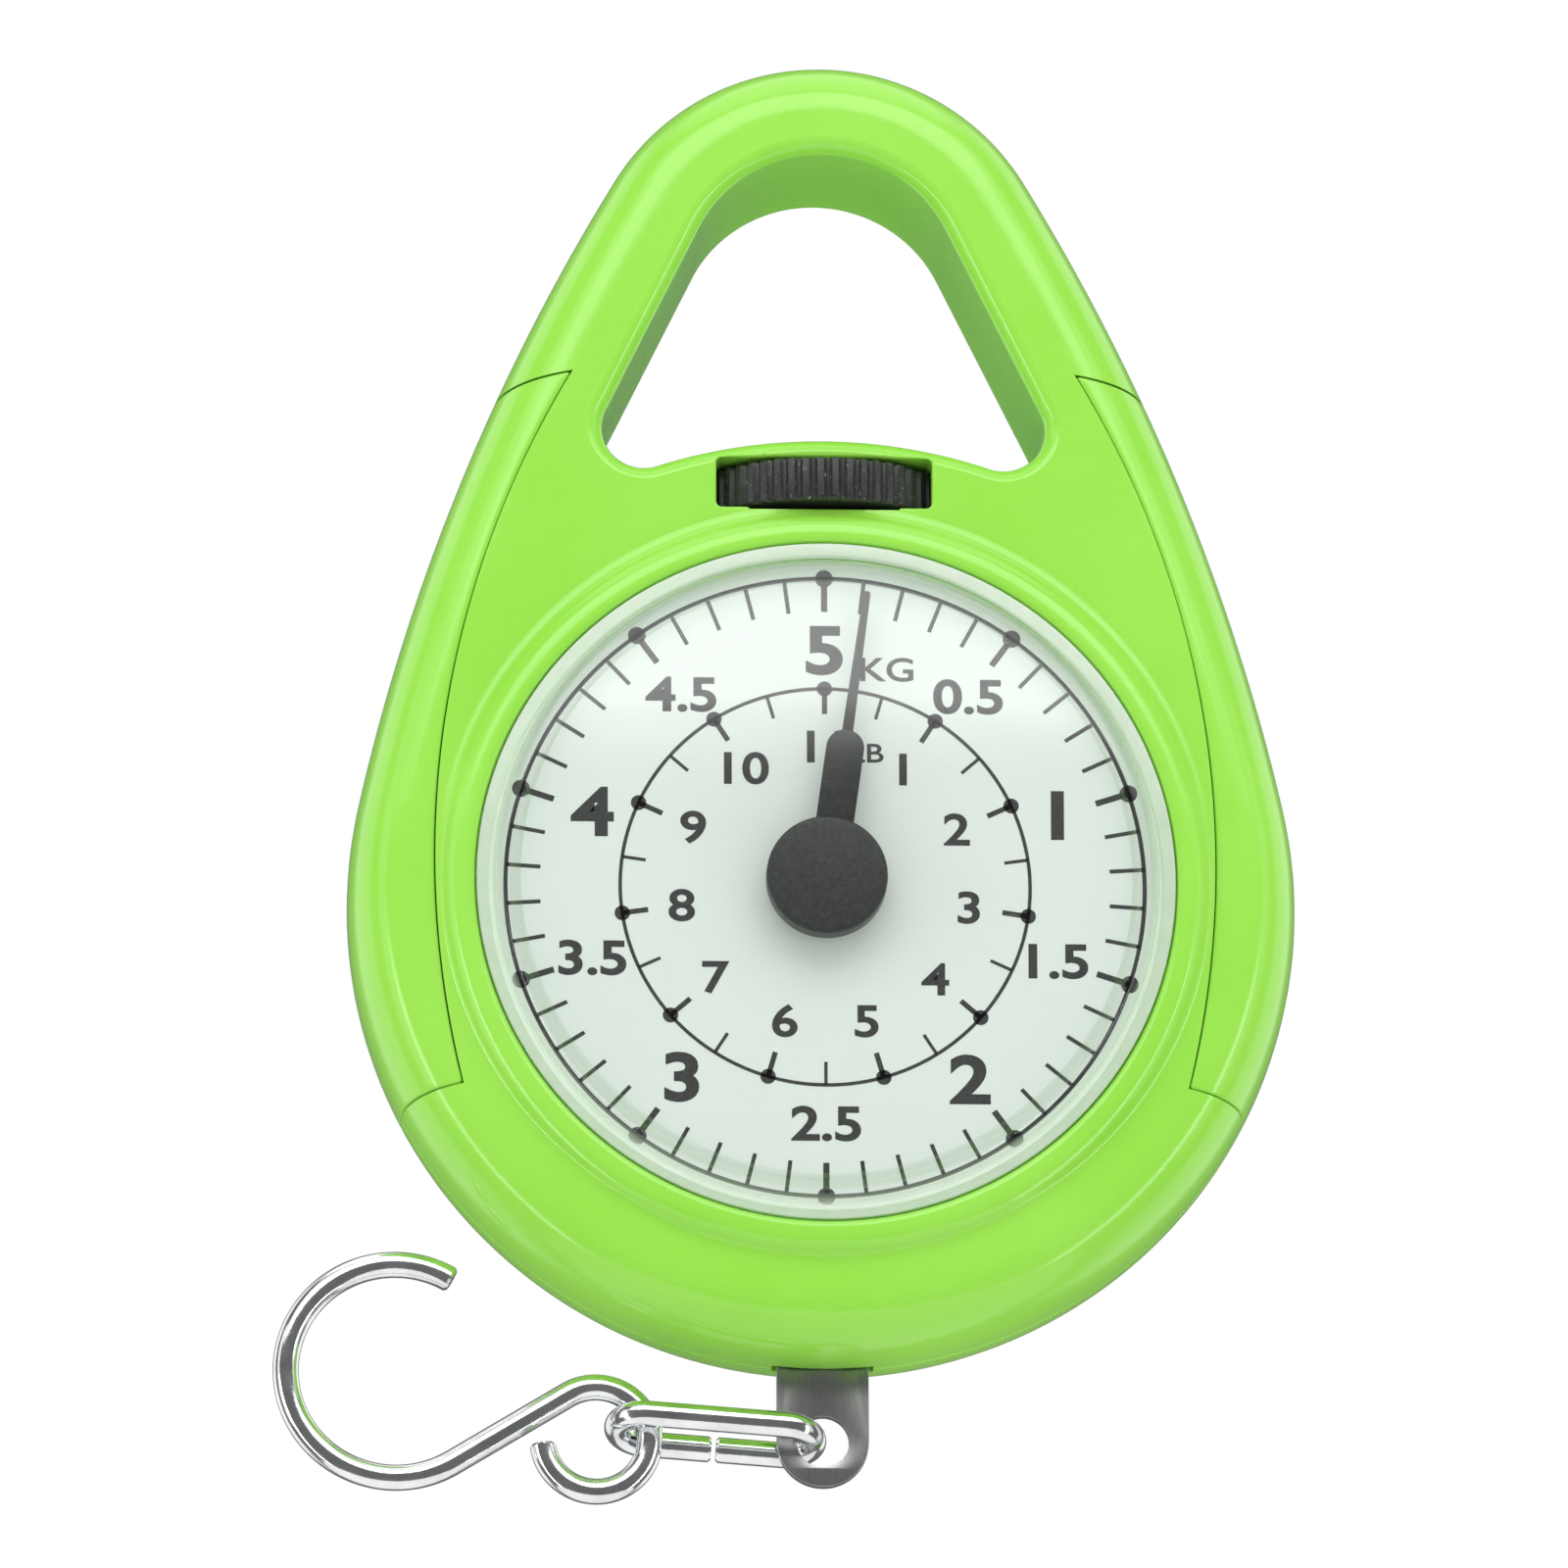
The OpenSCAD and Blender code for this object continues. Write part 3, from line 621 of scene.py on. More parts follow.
def clear_window():
    """Clear plastic: see-through with a soft gloss, with painted pale green light at the rim and
    milky in fine scratches.
    """
    gloss_cap = 0.22
    rim_start, rim_end, painted_rim_light_share = 27.5, 28.4, 0.55
    f = Finish("clear_window", (0.9, 0.96, 0.92), 0.05)
    smear = f.noise(0.18, 4)
    clear = f.node("ShaderNodeBsdfTransparent")
    clear.inputs["Color"].default_value = (0.988, 0.997, 0.99, 1)
    gloss = f.node("ShaderNodeBsdfGlossy")
    f.link(f.span(smear, 0.03, 0.12), gloss.inputs["Roughness"])
    shine = f.node("ShaderNodeFresnel")
    shine.inputs["IOR"].default_value = 1.49
    capped = f.maths("MINIMUM", shine.outputs["Fac"], gloss_cap)
    pane = f.layers(capped, clear.outputs["BSDF"], gloss.outputs["BSDF"])

    # Distance from the dial's axis, for the thick rim, where the green case's light through the
    # clear plastic is painted as a pale green veil
    x, _, z = f.axes()
    flat = f.node("ShaderNodeCombineXYZ")
    f.link(x, flat.inputs["X"])
    f.link(f.maths("SUBTRACT", z, DIAL.z / MM), flat.inputs["Y"])
    away = f.node("ShaderNodeVectorMath", operation="LENGTH")
    f.link(flat.outputs["Vector"], away.inputs[0])
    # Painted light: up to this share of the rim becomes a pale green opaque coat, in place of the
    # case's light shining through the plastic
    rim = f.span(away.outputs["Value"], 0.0, painted_rim_light_share, rim_start, rim_end)
    # Pale green colour of the painted rim light, also used for the scratches
    f.colour(f.ramp(f.noise(0.6, 3), [(0.3, (0.8, 0.95, 0.77)), (0.7, (0.9, 0.98, 0.87))]))
    f.rough(smear, 0.1, 0.3)

    # Fine scratches from handling
    tilted = f.node("ShaderNodeMapping")
    tilted.inputs["Rotation"].default_value = (0, math.radians(35), 0)
    tilted.inputs["Scale"].default_value = (0.12, 1, 3.2)
    f.link(f.place, tilted.inputs["Vector"])
    lines = f.noise(1.0, 5, tilted.outputs["Vector"], 0.7)
    scratches = f.ramp(lines, [(0.66, 0.0), (0.72, 0.14)])
    # Painted rim light and real scratches, laid over the clear pane
    painted_rim_light_and_scratches = f.maths("MAXIMUM", rim, scratches)
    f.surface(f.layers(painted_rim_light_and_scratches, pane, f.shader.outputs["BSDF"]))
    return f.material


def floor_paint():
    f = Finish("floor", (0.97, 0.97, 0.97), 0.9)
    f.colour(f.ramp(f.noise(0.01, 2), [(0.3, 0.965), (0.7, 0.98)]))
    f.set(Specular_IOR_Level=0.0)
    return f.material


MATERIALS = {
    "lime": lime_plastic(),
    "black": black_plastic("black_plastic"),
    # For the thumbwheel: black with painted glint specks
    "painted_glints": black_plastic("black_plastic_worn", painted_glints=0.7),
    "rubber": black_plastic("black_rubber", rough=(0.6, 0.85)),
    "zinc": steel("zinc_steel", (0.62, 0.63, 0.64), (0.22, 0.4), (1, 1, 1)),
    "stamped": steel("stamped_steel", (0.5, 0.5, 0.5), (0.2, 0.4), (1.0, 1.0, 0.06)),
    "spring": steel("spring_steel", (0.42, 0.42, 0.43), (0.2, 0.35), (0.5, 0.5, 0.5)),
    "brass": steel("brass", (0.72, 0.52, 0.22), (0.2, 0.4), (1, 0.1, 1)),
    "chrome": chrome(),
    "dial": dial_paint(),
    "ink": ink(),
    "window": clear_window(),
}


# ---------- case ----------

def cushion(name, inset, width, depth, sides=(-1, 1), steps=22, notch=0.0):
    """The rounded body at an inset, on one side of the parting plane or on both."""
    profile = edge_profile(width, depth, steps)[1:]
    rings = []
    if -1 in sides:
        rings += [flat_ring(outline(inset + i), -rise) for i, rise in reversed(profile)]
    if notch:  # an eased edge at the parting plane
        side = sides[0]
        near = [flat_ring(outline(inset), side * notch), flat_ring(outline(inset + notch), 0)]
        rings = rings + near if side == -1 else near[::-1]
    elif len(sides) == 2:
        rings.append(flat_ring(outline(inset), 0))
    else:  # a cutter goes 1 mm past the plane
        rings.append(flat_ring(outline(inset), -sides[0]))
    if 1 in sides:
        rings += [flat_ring(outline(inset + i), rise) for i, rise in profile]
    return loft(name, rings)


def opening_cutter():
    """The handle opening through both faces, its lips rounded."""
    over = 0.03
    face, lip = CASE_HALF + over, OPEN_LIP + over
    side = [(OPEN_LIP, face + 3)]
    side += [(OPEN_LIP * u, face - lip * v) for u, v in quarter_round(8)]
    rings = [flat_ring(opening(g), -y) for g, y in side]
    rings += [flat_ring(opening(g), y) for g, y in reversed(side)]
    return loft("opening_cutter", rings)


def slot_cutter():
    """The thumbwheel's slot through both faces, its edges eased."""
    ease, corner, face = 0.35, 0.5, CASE_HALF + 0.02
    side = [(ease, CASE_HALF + 3)]
    side += [(ease * u, face - ease * v) for u, v in quarter_round(5)]

    def ring(grow, y):
        low, high = SLOT_LOW - grow, SLOT_HIGH + grow
        return flat_ring(rounded_box(SLOT_X + grow, low, high, corner + grow), y)

    rings = [ring(g, -y) for g, y in side] + [ring(g, y) for g, y in reversed(side)]
    return loft("slot_cutter", rings)


def wheel_cutter():
    """Room for the thumbwheel between the shelf and the handle opening."""
    ring = arc(0, 0, WHEEL_R + 0.2, 0, 2 * math.pi, 128)
    return loft("wheel_cutter", [[(x, y, z) for x, y in ring] for z in (SHELF_Z[1], POCKET_TOP)])


def cover_region(side, grow):
    """Outline of a cover's area in the front view, past the case's edge."""
    cx, cz, r = COVER_ARC
    far = BODY_R + 5

    def end(line, rise, a0, a1):
        def below(a):
            x, z = around(cx, cz, r - grow, a)
            return z < cover_line(line, x, rise)

        return bisect(a0, a1, 50, below)

    low = end(COVER_LOW, -grow, -0.9, 0.2)
    high = end(COVER_HIGH, grow, 0.1, 1.2)
    points = arc(cx, cz, r - grow, high, low, 96) + [
        around(cx, cz, r - grow, low),
        (far, cover_line(COVER_LOW, far, -grow)),
        (far, cover_line(COVER_HIGH, far, grow)),
    ]
    return [(side * x, z) for x, z in points]


def pocket_cutter(side):
    """The recess that a side cover lies in."""
    area = prism("pocket", cover_region(side, COVER_GAP), -CASE_HALF - 2, CASE_HALF + 2)
    deep = COVER_T + 0.1
    return boolean(area, cushion("core", deep, EDGE_W, CASE_HALF - deep, steps=16))


def hollow_cutter(sides):
    """The hollow, with the wall round the handle opening and the wheel's shelf left in."""
    core = cushion("hollow", FLANK_WALL, EDGE_W - 1, CASE_HALF - WALL, sides, steps=8)
    boolean(core, prism("wall", opening(OPEN_WALL), -BEYOND, BEYOND))
    low, high = (-3 * BEYOND, -BEYOND, SHELF_Z[0]), (3 * BEYOND, BEYOND, SHELF_Z[1])
    return boolean(core, box("shelf", low, high))


def lens_ring():
    """The raised ring round the window."""
    bore, foot, root = 29.52, 33.6, -7.5
    top = smooth_line(
        [(bore, -9.0), (29.56, -10.0), (29.8, -10.34), (30.35, -10.42), (31.1, -10.28),
         (31.75, -9.85), (32.2, -9.35), (32.75, -9.06), (foot, -8.98)], 6)
    return revolve("lens_ring", top + [(foot, root), (bore, root), (bore, -9.0)], FINE)


def screw_well():
    """Profile of a rear screw's well, its mouth eased."""
    r, ease, face, out = HEAD_R + 0.3, 0.3, CASE_HALF + 0.02, CASE_HALF + 2
    mouth = [(r + ease * u, face - ease * v) for u, v in quarter_round(5)]
    return [(0, out), (r + ease, out)] + mouth + [(r, HEAD_Y), (0, HEAD_Y)]


def shell(name, side):
    """One half of the case."""
    seam = 0.22
    body = cushion(name, 0, EDGE_W, CASE_HALF, (side,), notch=seam)
    if side == -1:
        ring = lens_ring()
        weld(ring, 0.0001)
        boolean(body, ring, "UNION")
    boolean(body, hollow_cutter((side,)))
    boolean(body, opening_cutter())
    for cover_side in (-1, 1):
        boolean(body, pocket_cutter(cover_side))
    boolean(body, wheel_cutter())
    boolean(body, slot_cutter())
    tab_x, tab_y, inside = TAB_W / 2 + 0.4, 0.9, -30
    boolean(body, box("tab_slot", (-tab_x, -tab_y, -BODY_R - 2), (tab_x, tab_y, inside)))
    if side == -1:
        back = -1
        boolean(body, drum("dial_hole", DIAL_HOLE_R, -BEYOND, back))
        boolean(body, drum("lens_seat", LENS_R + 0.1, -BEYOND, -CASE_HALF))
        boolean(body, drum("dial_seat", DIAL_R + 0.2, DIAL_Y, back))
    else:
        for centre in SCREW_XZ:
            boolean(body, revolve("well", screw_well(), 64, centre))
    return body


def edge_height(d):
    """Height of the case surface over the parting plane at an inset."""
    left = max(1 - d / EDGE_W, 0) ** EDGE_POWER
    return CASE_HALF * (1 - left) ** (1 / EDGE_POWER)


def flank_point(s, d):
    """Point of the right-hand outline at arc length s from the flank's low end, drawn in by d."""
    if s < 0:
        return around(0, 0, BODY_R - d, LOW_A + s / BODY_R)
    return around(-FLANK_X, FLANK_Z, FLANK_R - d, LOW_A + s / FLANK_R)


def cover(name, side):
    """A side cover: it wraps from the front face round the edge to the rear face."""
    cx, cz, r = COVER_ARC
    columns, rows, rounds = 20, 110, 36
    deepest, start, corner, end = 14.0, -40, 0, 58  # limits of the search for the outline

    def edge_inset(s):
        def outside(d):
            x, z = flank_point(s, d)
            return math.hypot(x - cx, z - cz) > r

        return bisect(0.0, deepest, rounds, outside)

    def meets(line, share, low, high):
        def below(s):
            x, z = flank_point(s, edge_inset(s) * share)
            return z < cover_line(line, x, 0)

        return bisect(low, high, rounds, below)

    verts, faces = [], []
    for k in range(-columns, columns + 1):
        share = 1 - math.cos(math.pi / 2 * abs(k) / columns)
        s0, s1 = meets(COVER_LOW, share, start, corner), meets(COVER_HIGH, share, corner, end)
        for j in range(rows + 1):
            s = s0 + (s1 - s0) * j / rows
            d = edge_inset(s) * share
            x, z = flank_point(s, d)
            verts.append((side * x, math.copysign(edge_height(d), k) if k else 0.0, z))
    line = rows + 1
    for k in range(2 * columns):
        for j in range(rows):
            a = k * line + j
            quad = (a, a + line, a + line + 1, a + 1)
            faces.append(quad if side == -1 else quad[::-1])
    mesh = bpy.data.meshes.new(name)
    mesh.from_pydata(verts, [], faces)
    obj = put(name, mesh)
    outward = mesh.polygons[columns * rows + rows // 2].normal.x * side
    skin = obj.modifiers.new("skin", "SOLIDIFY")
    skin.thickness, skin.offset = COVER_T - 0.1, -1 if outward > 0 else 1
    skin.use_even_offset = True
    bake(obj)
    return bevel(obj, 0.28, 3, 50)


for name, build, side, node in (
    ("front_case", shell, -1, "front_shell"),
    ("rear_case", shell, 1, "rear_shell"),
    ("side_cover_left", cover, -1, "left_cover"),
    ("side_cover_right", cover, 1, "right_cover"),
):
    dress(build(name, side), "case", MATERIALS["lime"], [node], weighted=True)


def cross_screw(name, x, z):
    crown = [(0, 1.6), (0.9, 1.57), (1.6, 1.36), (2.05, 0.85), (HEAD_R, 0.25), (HEAD_R - 0.08, 0)]
    head = smooth_line([(r, HEAD_Y + up) for r, up in crown], 5)
    head[0] = (0, head[0][1])
    shaft, taper, tip = 1.1, -4.6, -5
    profile = head + [(shaft, HEAD_Y), (shaft, taper), (0.5, tip), (0, tip)]
    body = revolve(name, profile, 48, (x, z))
    for wide, tall in ((1.35, 0.27), (0.27, 1.35)):
        low, high = (x - wide, HEAD_Y + 0.8, z - tall), (x + wide, HEAD_Y + 3, z + tall)
        boolean(body, box("recess", low, high))
    return body


screws = join("rear_screws", [cross_screw(f"screw{k}", x, z) for k, (x, z) in enumerate(SCREW_XZ)])
dress(screws, "case", MATERIALS["zinc"], ["case_screws"])


# ---------- window, dial and pointer ----------

def window():
    """The window's profile turned round: dome, rolled shoulder, rim and inside."""
    top, chord, sag, shoulder = CASE_HALF + 5, 27, 1.8, 26.6
    inner_r, thick = 25.7, 1.3
    ball = (chord * chord + sag * sag) / (2 * sag)

    def dome(r):
        return -(top - ball + math.sqrt(ball * ball - r * r))

    outer = [(shoulder * k / 24, dome(shoulder * k / 24)) for k in range(25)]
    p0, p1, p2 = outer[-1], (27.62, dome(shoulder) + 0.12), (27.95, -10.75)
    for k in range(1, 9):
        t = k / 8
        outer.append(tuple(
            (1 - t) ** 2 * a + 2 * t * (1 - t) * b + t * t * c for a, b, c in zip(p0, p1, p2)))
    rim = [(28.0, -10.42), (28.12, -10.3), (29.2, -10.3), (29.36, -10.22), (LENS_R, -10.05),
           (LENS_R, -9.0)]
    inner = [(26.6, -9.0), (26.3, -9.8), (26.0, -10.6)]
    inside = [(inner_r * k / 24, dome(inner_r * k / 24) + thick) for k in range(24, -1, -1)]
    return revolve("dial_window", outer + rim + inner + inside, FINE)


dress(window(), "case", MATERIALS["window"], ["lens"], sharp=50)

dial_back = DIAL_Y + DIAL_T
dial_edge = [(DIAL_BORE, DIAL_Y), (DIAL_R - 0.15, DIAL_Y), (DIAL_R, DIAL_Y + 0.12),
             (DIAL_R, dial_back), (DIAL_BORE, dial_back), (DIAL_BORE, DIAL_Y)]
plate = revolve("dial_face", dial_edge, 192)
weld(plate, 0.0001)
dress(plate, "case", MATERIALS["dial"], ["dial_plate"])


def polar(r, a):
    """Point at a clockwise angle from the top."""
    return r * math.sin(a), r * math.cos(a)


def tick(r0, r1, a, width):
    (x0, z0), (x1, z1) = polar(r0, a), polar(r1, a)
    dx, dz = math.cos(a) * width / 2, -math.sin(a) * width / 2
    return [(x0 - dx, z0 - dz), (x0 + dx, z0 + dz), (x1 + dx, z1 + dz), (x1 - dx, z1 - dz)]


def ring_line(r, width):
    low, high = r - width / 2, r + width / 2
    front, back = DIAL_Y - INK, DIAL_Y + INK_SINK
    profile = [(low, front), (high, front), (high, back), (low, back), (low, front)]
    return weld(revolve("ring_line", profile, FINE), 0.0001)


def dot(r, a, size):
    x, z = polar(r, a)
    return arc(x, z, size, 0, 2 * math.pi, 32)


def numeral(text, r, a, height, weight):
    """Upright lettering centred at a place on the dial."""
    data = bpy.data.curves.new("numeral", "FONT")
    data.body, data.align_x, data.align_y = text, "CENTER", "CENTER"
    data.size, data.offset = height / CAP_SHARE, weight
    data.extrude, data.resolution_u = INK / 2, 5
    mesh = curve_mesh(data)
    xs = [v.co.x for v in mesh.vertices]
    ys = [v.co.y for v in mesh.vertices]
    x, z = polar(r, a)
    middle = Matrix.Translation((-(min(xs) + max(xs)) / 2, -(min(ys) + max(ys)) / 2, 0))
    upright = Matrix.Translation((x, DIAL_Y - INK / 2, z)) @ Matrix.Rotation(math.pi / 2, 4, "X")
    mesh.transform(upright @ Matrix.Scale(LETTER_WIDTH, 4, (1, 0, 0)) @ middle)
    return put("numeral", mesh)


def dial_ink():
    """All the print: kilogram scale outside, pound scale inside."""
    full = 2 * math.pi
    outer_r, inner_r = 26.9, 17.25
    outer_text, inner_text = 20.6, 12.2
    shapes = []
    for k in range(50):
        major = k % 5 == 0
        shapes.append(tick(outer_r - 2.9, outer_r, full * k / 50, 0.52 if major else 0.34))
        if major:
            shapes.append(dot(outer_r, full * k / 50, 0.75))
    for k in range(22):
        major = k % 2 == 0
        length, width = (2.2, 0.44) if major else (2.0, 0.28)
        shapes.append(tick(inner_r - length, inner_r, full * k / 22, width))
        if major:
            shapes.append(dot(inner_r, full * k / 22, 0.65))
    marks = [prism("ink", points, DIAL_Y - INK, DIAL_Y + INK_SINK) for points in shapes]
    marks += [ring_line(outer_r, 0.36), ring_line(inner_r, 0.3)]
    for k in range(10):
        whole = k % 2 == 0
        value = 5 if k == 0 else k / 2
        text = str(int(value)) if whole else str(value)
        height, weight = (4.2, 0.17) if whole else (3.0, 0.1)
        marks.append(numeral(text, outer_text, full * k / 10, height, weight))
    for k in range(1, 12):
        marks.append(numeral(str(k), inner_text, full * k / 11, 2.8, 0.08))
    marks.append(numeral("KG", 19.7, math.radians(15.5), 2.1, 0.04))
    marks.append(numeral("LB", inner_text, math.radians(17), 1.7, 0.03))
    return join("dial_marks", marks)


dress(dial_ink(), "case", MATERIALS["ink"])


def pointer():
    """Hub, broad arm and fine needle, turned to the rest angle."""
    hub_r, hub_y, back_y, round_r = 5.1, -12.1, -10.1, 0.4
    boss_r, boss_y, bore, blind_y = 2.2, DIAL_Y - 0.8, 0.78, back_y - 1.5
    profile = [(0, hub_y)]
    profile += [(hub_r - round_r * u, hub_y + round_r * v) for u, v in quarter_round(6)]
    profile += [(hub_r, back_y - 0.1), (hub_r - 0.1, back_y), (boss_r, back_y), (boss_r, boss_y),
                (bore, boss_y), (bore, blind_y), (0, blind_y)]
    hub = revolve("pointer_hub", profile, 96)
    arm_w, arm_len, arm_foot = 3.2, 13, 3
    half, shoulder = arm_w / 2, arm_len - arm_w / 2
    arm = [(-half, arm_foot), (half, arm_foot)] + arc(0, shoulder, half, 0, math.pi, 24)
    arm.append((-half, shoulder))
    needle_w, tip, tip_r = 1.0, 25.4, 0.3
    needle = [(-needle_w / 2, arm_len - 2), (needle_w / 2, arm_len - 2)]
    needle += arc(0, tip - tip_r, tip_r, 0, math.pi, 8)
    needle.append((-tip_r, tip - tip_r))
    parts = [hub, sheet_metal("arm", [arm], back_y - 0.5, 1.0, 0.1),
             sheet_metal("needle", [needle], back_y - 0.25, 0.5, 0.08)]
    obj = join("dial_pointer", parts)
    obj.data.transform(Matrix.Rotation(REST_ANGLE, 4, "Y"))
    return obj


dress(pointer(), "indicator", MATERIALS["black"], ["pointer"])


# ---------- thumbwheel ----------

def thumbwheel():
    """The knurled wheel, lying flat, with a shallow recess in its upper face."""
    per, groove, crest = 12, 0.35, 0.45
    count = KNURLS * per
    knurls = []
    for i in range(count):
        share = i % per / per
        # Flat crest, then a rounded groove
        bow = math.sin(math.pi * (share - crest) / (1 - crest)) ** 0.7 if share >= crest else 0
        knurls.append((2 * math.pi * i / count, groove * bow))

    def ring(z, r, knurled=0):
        return [(*around(0, 0, r - d * knurled, a), z) for a, d in knurls]

    ease, bore, recess = 0.35, 2.61, 0.4
    z0, z1 = WHEEL_Z, WHEEL_Z + WHEEL_T
    edge = [(ease * v, WHEEL_R - ease * u) for u, v in quarter_round(4)]
    rings = [ring(z0, bore), ring(z0, 4.2), ring(z0, WHEEL_R - 0.9)]
    rings += [ring(z0 + up, r, 1) for up, r in edge]
    rings += [ring(z1 - down, r, 1) for down, r in reversed(edge)]
    rings += [ring(z1, WHEEL_R - 0.9), ring(z1, 8.6), ring(z1 - recess, 8.3),
              ring(z1 - recess, 4.4), ring(z1, 4.1), ring(z1, bore)]
    return loft("thumb_wheel", rings, closed=True)


dress(thumbwheel(), "wheel", MATERIALS["painted_glints"], ["thumbwheel"], sharp=28)


# ---------- load bar, springs, link and hook ----------

def load_bar():
    """The stamped bar: tab, cross arms for the springs, and a window with the rack."""
    pitch, tooth, root, crest = math.pi * 0.5, 0.6, 0.55, 0.4
    lean = math.tan(math.radians(25))
    half, shoulder, window_x, gear_r = 5.2, 11.3, 3.7, 2.5
    z_low, z_high, top = -16.5, -12.5, 23.6
    rack_low, rack_high = -2, 18.5
    tab = TAB_W / 2
    outer = arc(0, -TAB_Z, tab, -math.pi, 0, 48)
    outer += [(tab, -TAB_Z), (tab, z_low), (shoulder, z_low), (shoulder, z_high), (half, z_high),
              (half, top), (-half, top), (-half, z_high), (-shoulder, z_high), (-shoulder, z_low),
              (-tab, z_low)]
    root_x, crest_x = gear_r + root, gear_r - crest
    wide, slim = tooth / 2 + root * lean, tooth / 2 - crest * lean
    rack = []
    for k in range(math.ceil(rack_low / pitch), math.floor(rack_high / pitch) + 1):
        z = (k + 0.5) * pitch
        rack += [(root_x, z - wide), (crest_x, z - slim), (crest_x, z + slim), (root_x, z + wide)]
    low, high = -4, 21.6
    gear_window = [(-window_x, low), (root_x, low)] + rack + [(root_x, high), (-window_x, high)]
    slot_r, pin_z, travel = 1.1, -27, 15.35
    slot = arc(0, pin_z, slot_r, -math.pi, 0, 16) + arc(0, pin_z + travel, slot_r, 0, math.pi, 16)
    holes = [arc(0, -TAB_Z, TAB_HOLE_R, 0, 2 * math.pi, 48), slot, gear_window]
    holes += [arc(s * SPRING_X, SPRING_LOW, 0.9, 0, 2 * math.pi, 24) for s in (-1, 1)]
    return sheet_metal("steel_bar", [outer] + holes, 0, 1.0, 0.06)


dress(load_bar(), "load", MATERIALS["stamped"], ["load_bar"])


def spring(name, side):
    """A coil with a loop at each end."""
    turns, per_turn, coil_r, wire, loop_r, neck = 15, 26, 2, 0.4, 1.4, 1.2
    low, high = SPRING_LOW + loop_r + neck, SPRING_HIGH - loop_r - neck
    x = side * SPRING_X

    def loop(z, a0, a1, n):
        span = [math.radians(a0 + (a1 - a0) * i / n) for i in range(n + 1)]
        return [Vector((x, loop_r * math.cos(a), z + loop_r * math.sin(a))) for a in span]

    path = loop(SPRING_LOW + loop_r, -150, 40, 20)
    count = turns * per_turn
    for i in range(count + 1):
        a = math.radians(360 * i / per_turn)
        z = low + (high - low) * i / count
        path.append(Vector((x + coil_r * math.sin(a), coil_r * math.cos(a), z)))
    path += loop(SPRING_HIGH - loop_r, -40, 155, 20)
    for _ in range(3):  # eases the bends between loop and coil
        eased = [(a + b * 2 + c) / 4 for a, b, c in zip(path, path[1:], path[2:])]
        path = [path[0]] + eased + [path[-1]]
    return sweep(name, path, wire, 10, 0.08)


for name, side, node in (("spring_left", -1, "left_spring"), ("spring_right", 1, "right_spring")):
    coil = dress(spring(name, side), None, MATERIALS["spring"], [node])
    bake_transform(coil)


def wire_link():
    """The oval link, its split in the middle of one long side."""
    pitch, width, split, play = 16.5, 5, 0.4, 0.8
    rise, twist = math.radians(4.25), math.radians(-17)
    r, length = width / 2, pitch - width
    middle = -r - length / 2
    quarter = math.pi / 2

    def straight(x0, x1, y):
        n = 14
        return [(x0 + (x1 - x0) * i / n, y) for i in range(n)]

    flat = straight(middle + split / 2, -r, r)
    flat += arc(-r, 0, r, quarter, -quarter, 30)
    flat += straight(-r, -r - length, -r)
    flat += arc(-r - length, 0, r, -quarter, -3 * quarter, 30)
    flat += straight(-r - length, middle - split / 2, r) + [(middle - split / 2, r)]
    turn = (Matrix.Translation((0, 0, -TAB_Z)) @ Matrix.Rotation(rise, 4, "Y")
            @ Matrix.Rotation(twist, 4, "X") @ Matrix.Translation((-play, 0, 0)))
    return sweep("wire_link", [turn @ Vector((x, y, 0)) for x, y in flat], WIRE_R)


dress(wire_link(), "link", MATERIALS["chrome"], ["link"])


def hook():
    """The S-hook: a closed eye, a straight shank and an open bowl."""
    eye_x, eye_z, eye_r = -19.022, 0.151, 4.5
    gap, bowl_a, bowl_r, steps = 17.8, math.radians(161.1), 9.2, 28
    eye_tip, bowl_tip = math.radians(-175), math.radians(59)
    leave = bowl_a - math.acos((bowl_r + eye_r) / gap)
    eye = (eye_x, eye_z - TAB_Z)
    bowl = around(*eye, gap, bowl_a)
    a, b = around(*eye, eye_r, leave), around(*bowl, bowl_r, leave + math.pi)
    path = arc(*eye, eye_r, eye_tip, leave, 70)
    path += [tuple(p + (q - p) * i / steps for p, q in zip(a, b)) for i in range(steps)]
    path += arc(*bowl, bowl_r, leave + math.pi, bowl_tip, 100)
    path.append(around(*bowl, bowl_r, bowl_tip))
    return sweep("s_hook", [Vector((x, 0, z)) for x, z in path], WIRE_R)


dress(hook(), "hook", MATERIALS["chrome"], ["hook"])

# ---------- CAD nodes that stay ----------

SLOT_FINISH = {"zinc_steel": "zinc", "brass": "brass", "black_pad": "black",
               "black_rubber": "rubber", "spring_steel": "spring", "stamped_steel": "stamped"}

for part in frame["record"]["subparts"]:
    node = frame["nodes"][part["node"]]
    finish = SLOT_FINISH.get(part["material_slot"])
    if finish and not node.hide_render:
        for socket in node.material_slots:
            socket.material = MATERIALS[finish]

# ---------- studio ----------

def light(name, place, size, power, aim):
    data = bpy.data.lights.new(name, "AREA")
    data.shape, data.size, data.size_y = "RECTANGLE", size[0], size[1]
    data.energy, data.specular_factor = power, 0.0
    lamp = put(name, data)
    lamp.location = place
    lamp.rotation_euler = (Vector(aim) - Vector(place)).to_track_quat("-Z", "Y").to_euler()
    lamp.visible_camera = False


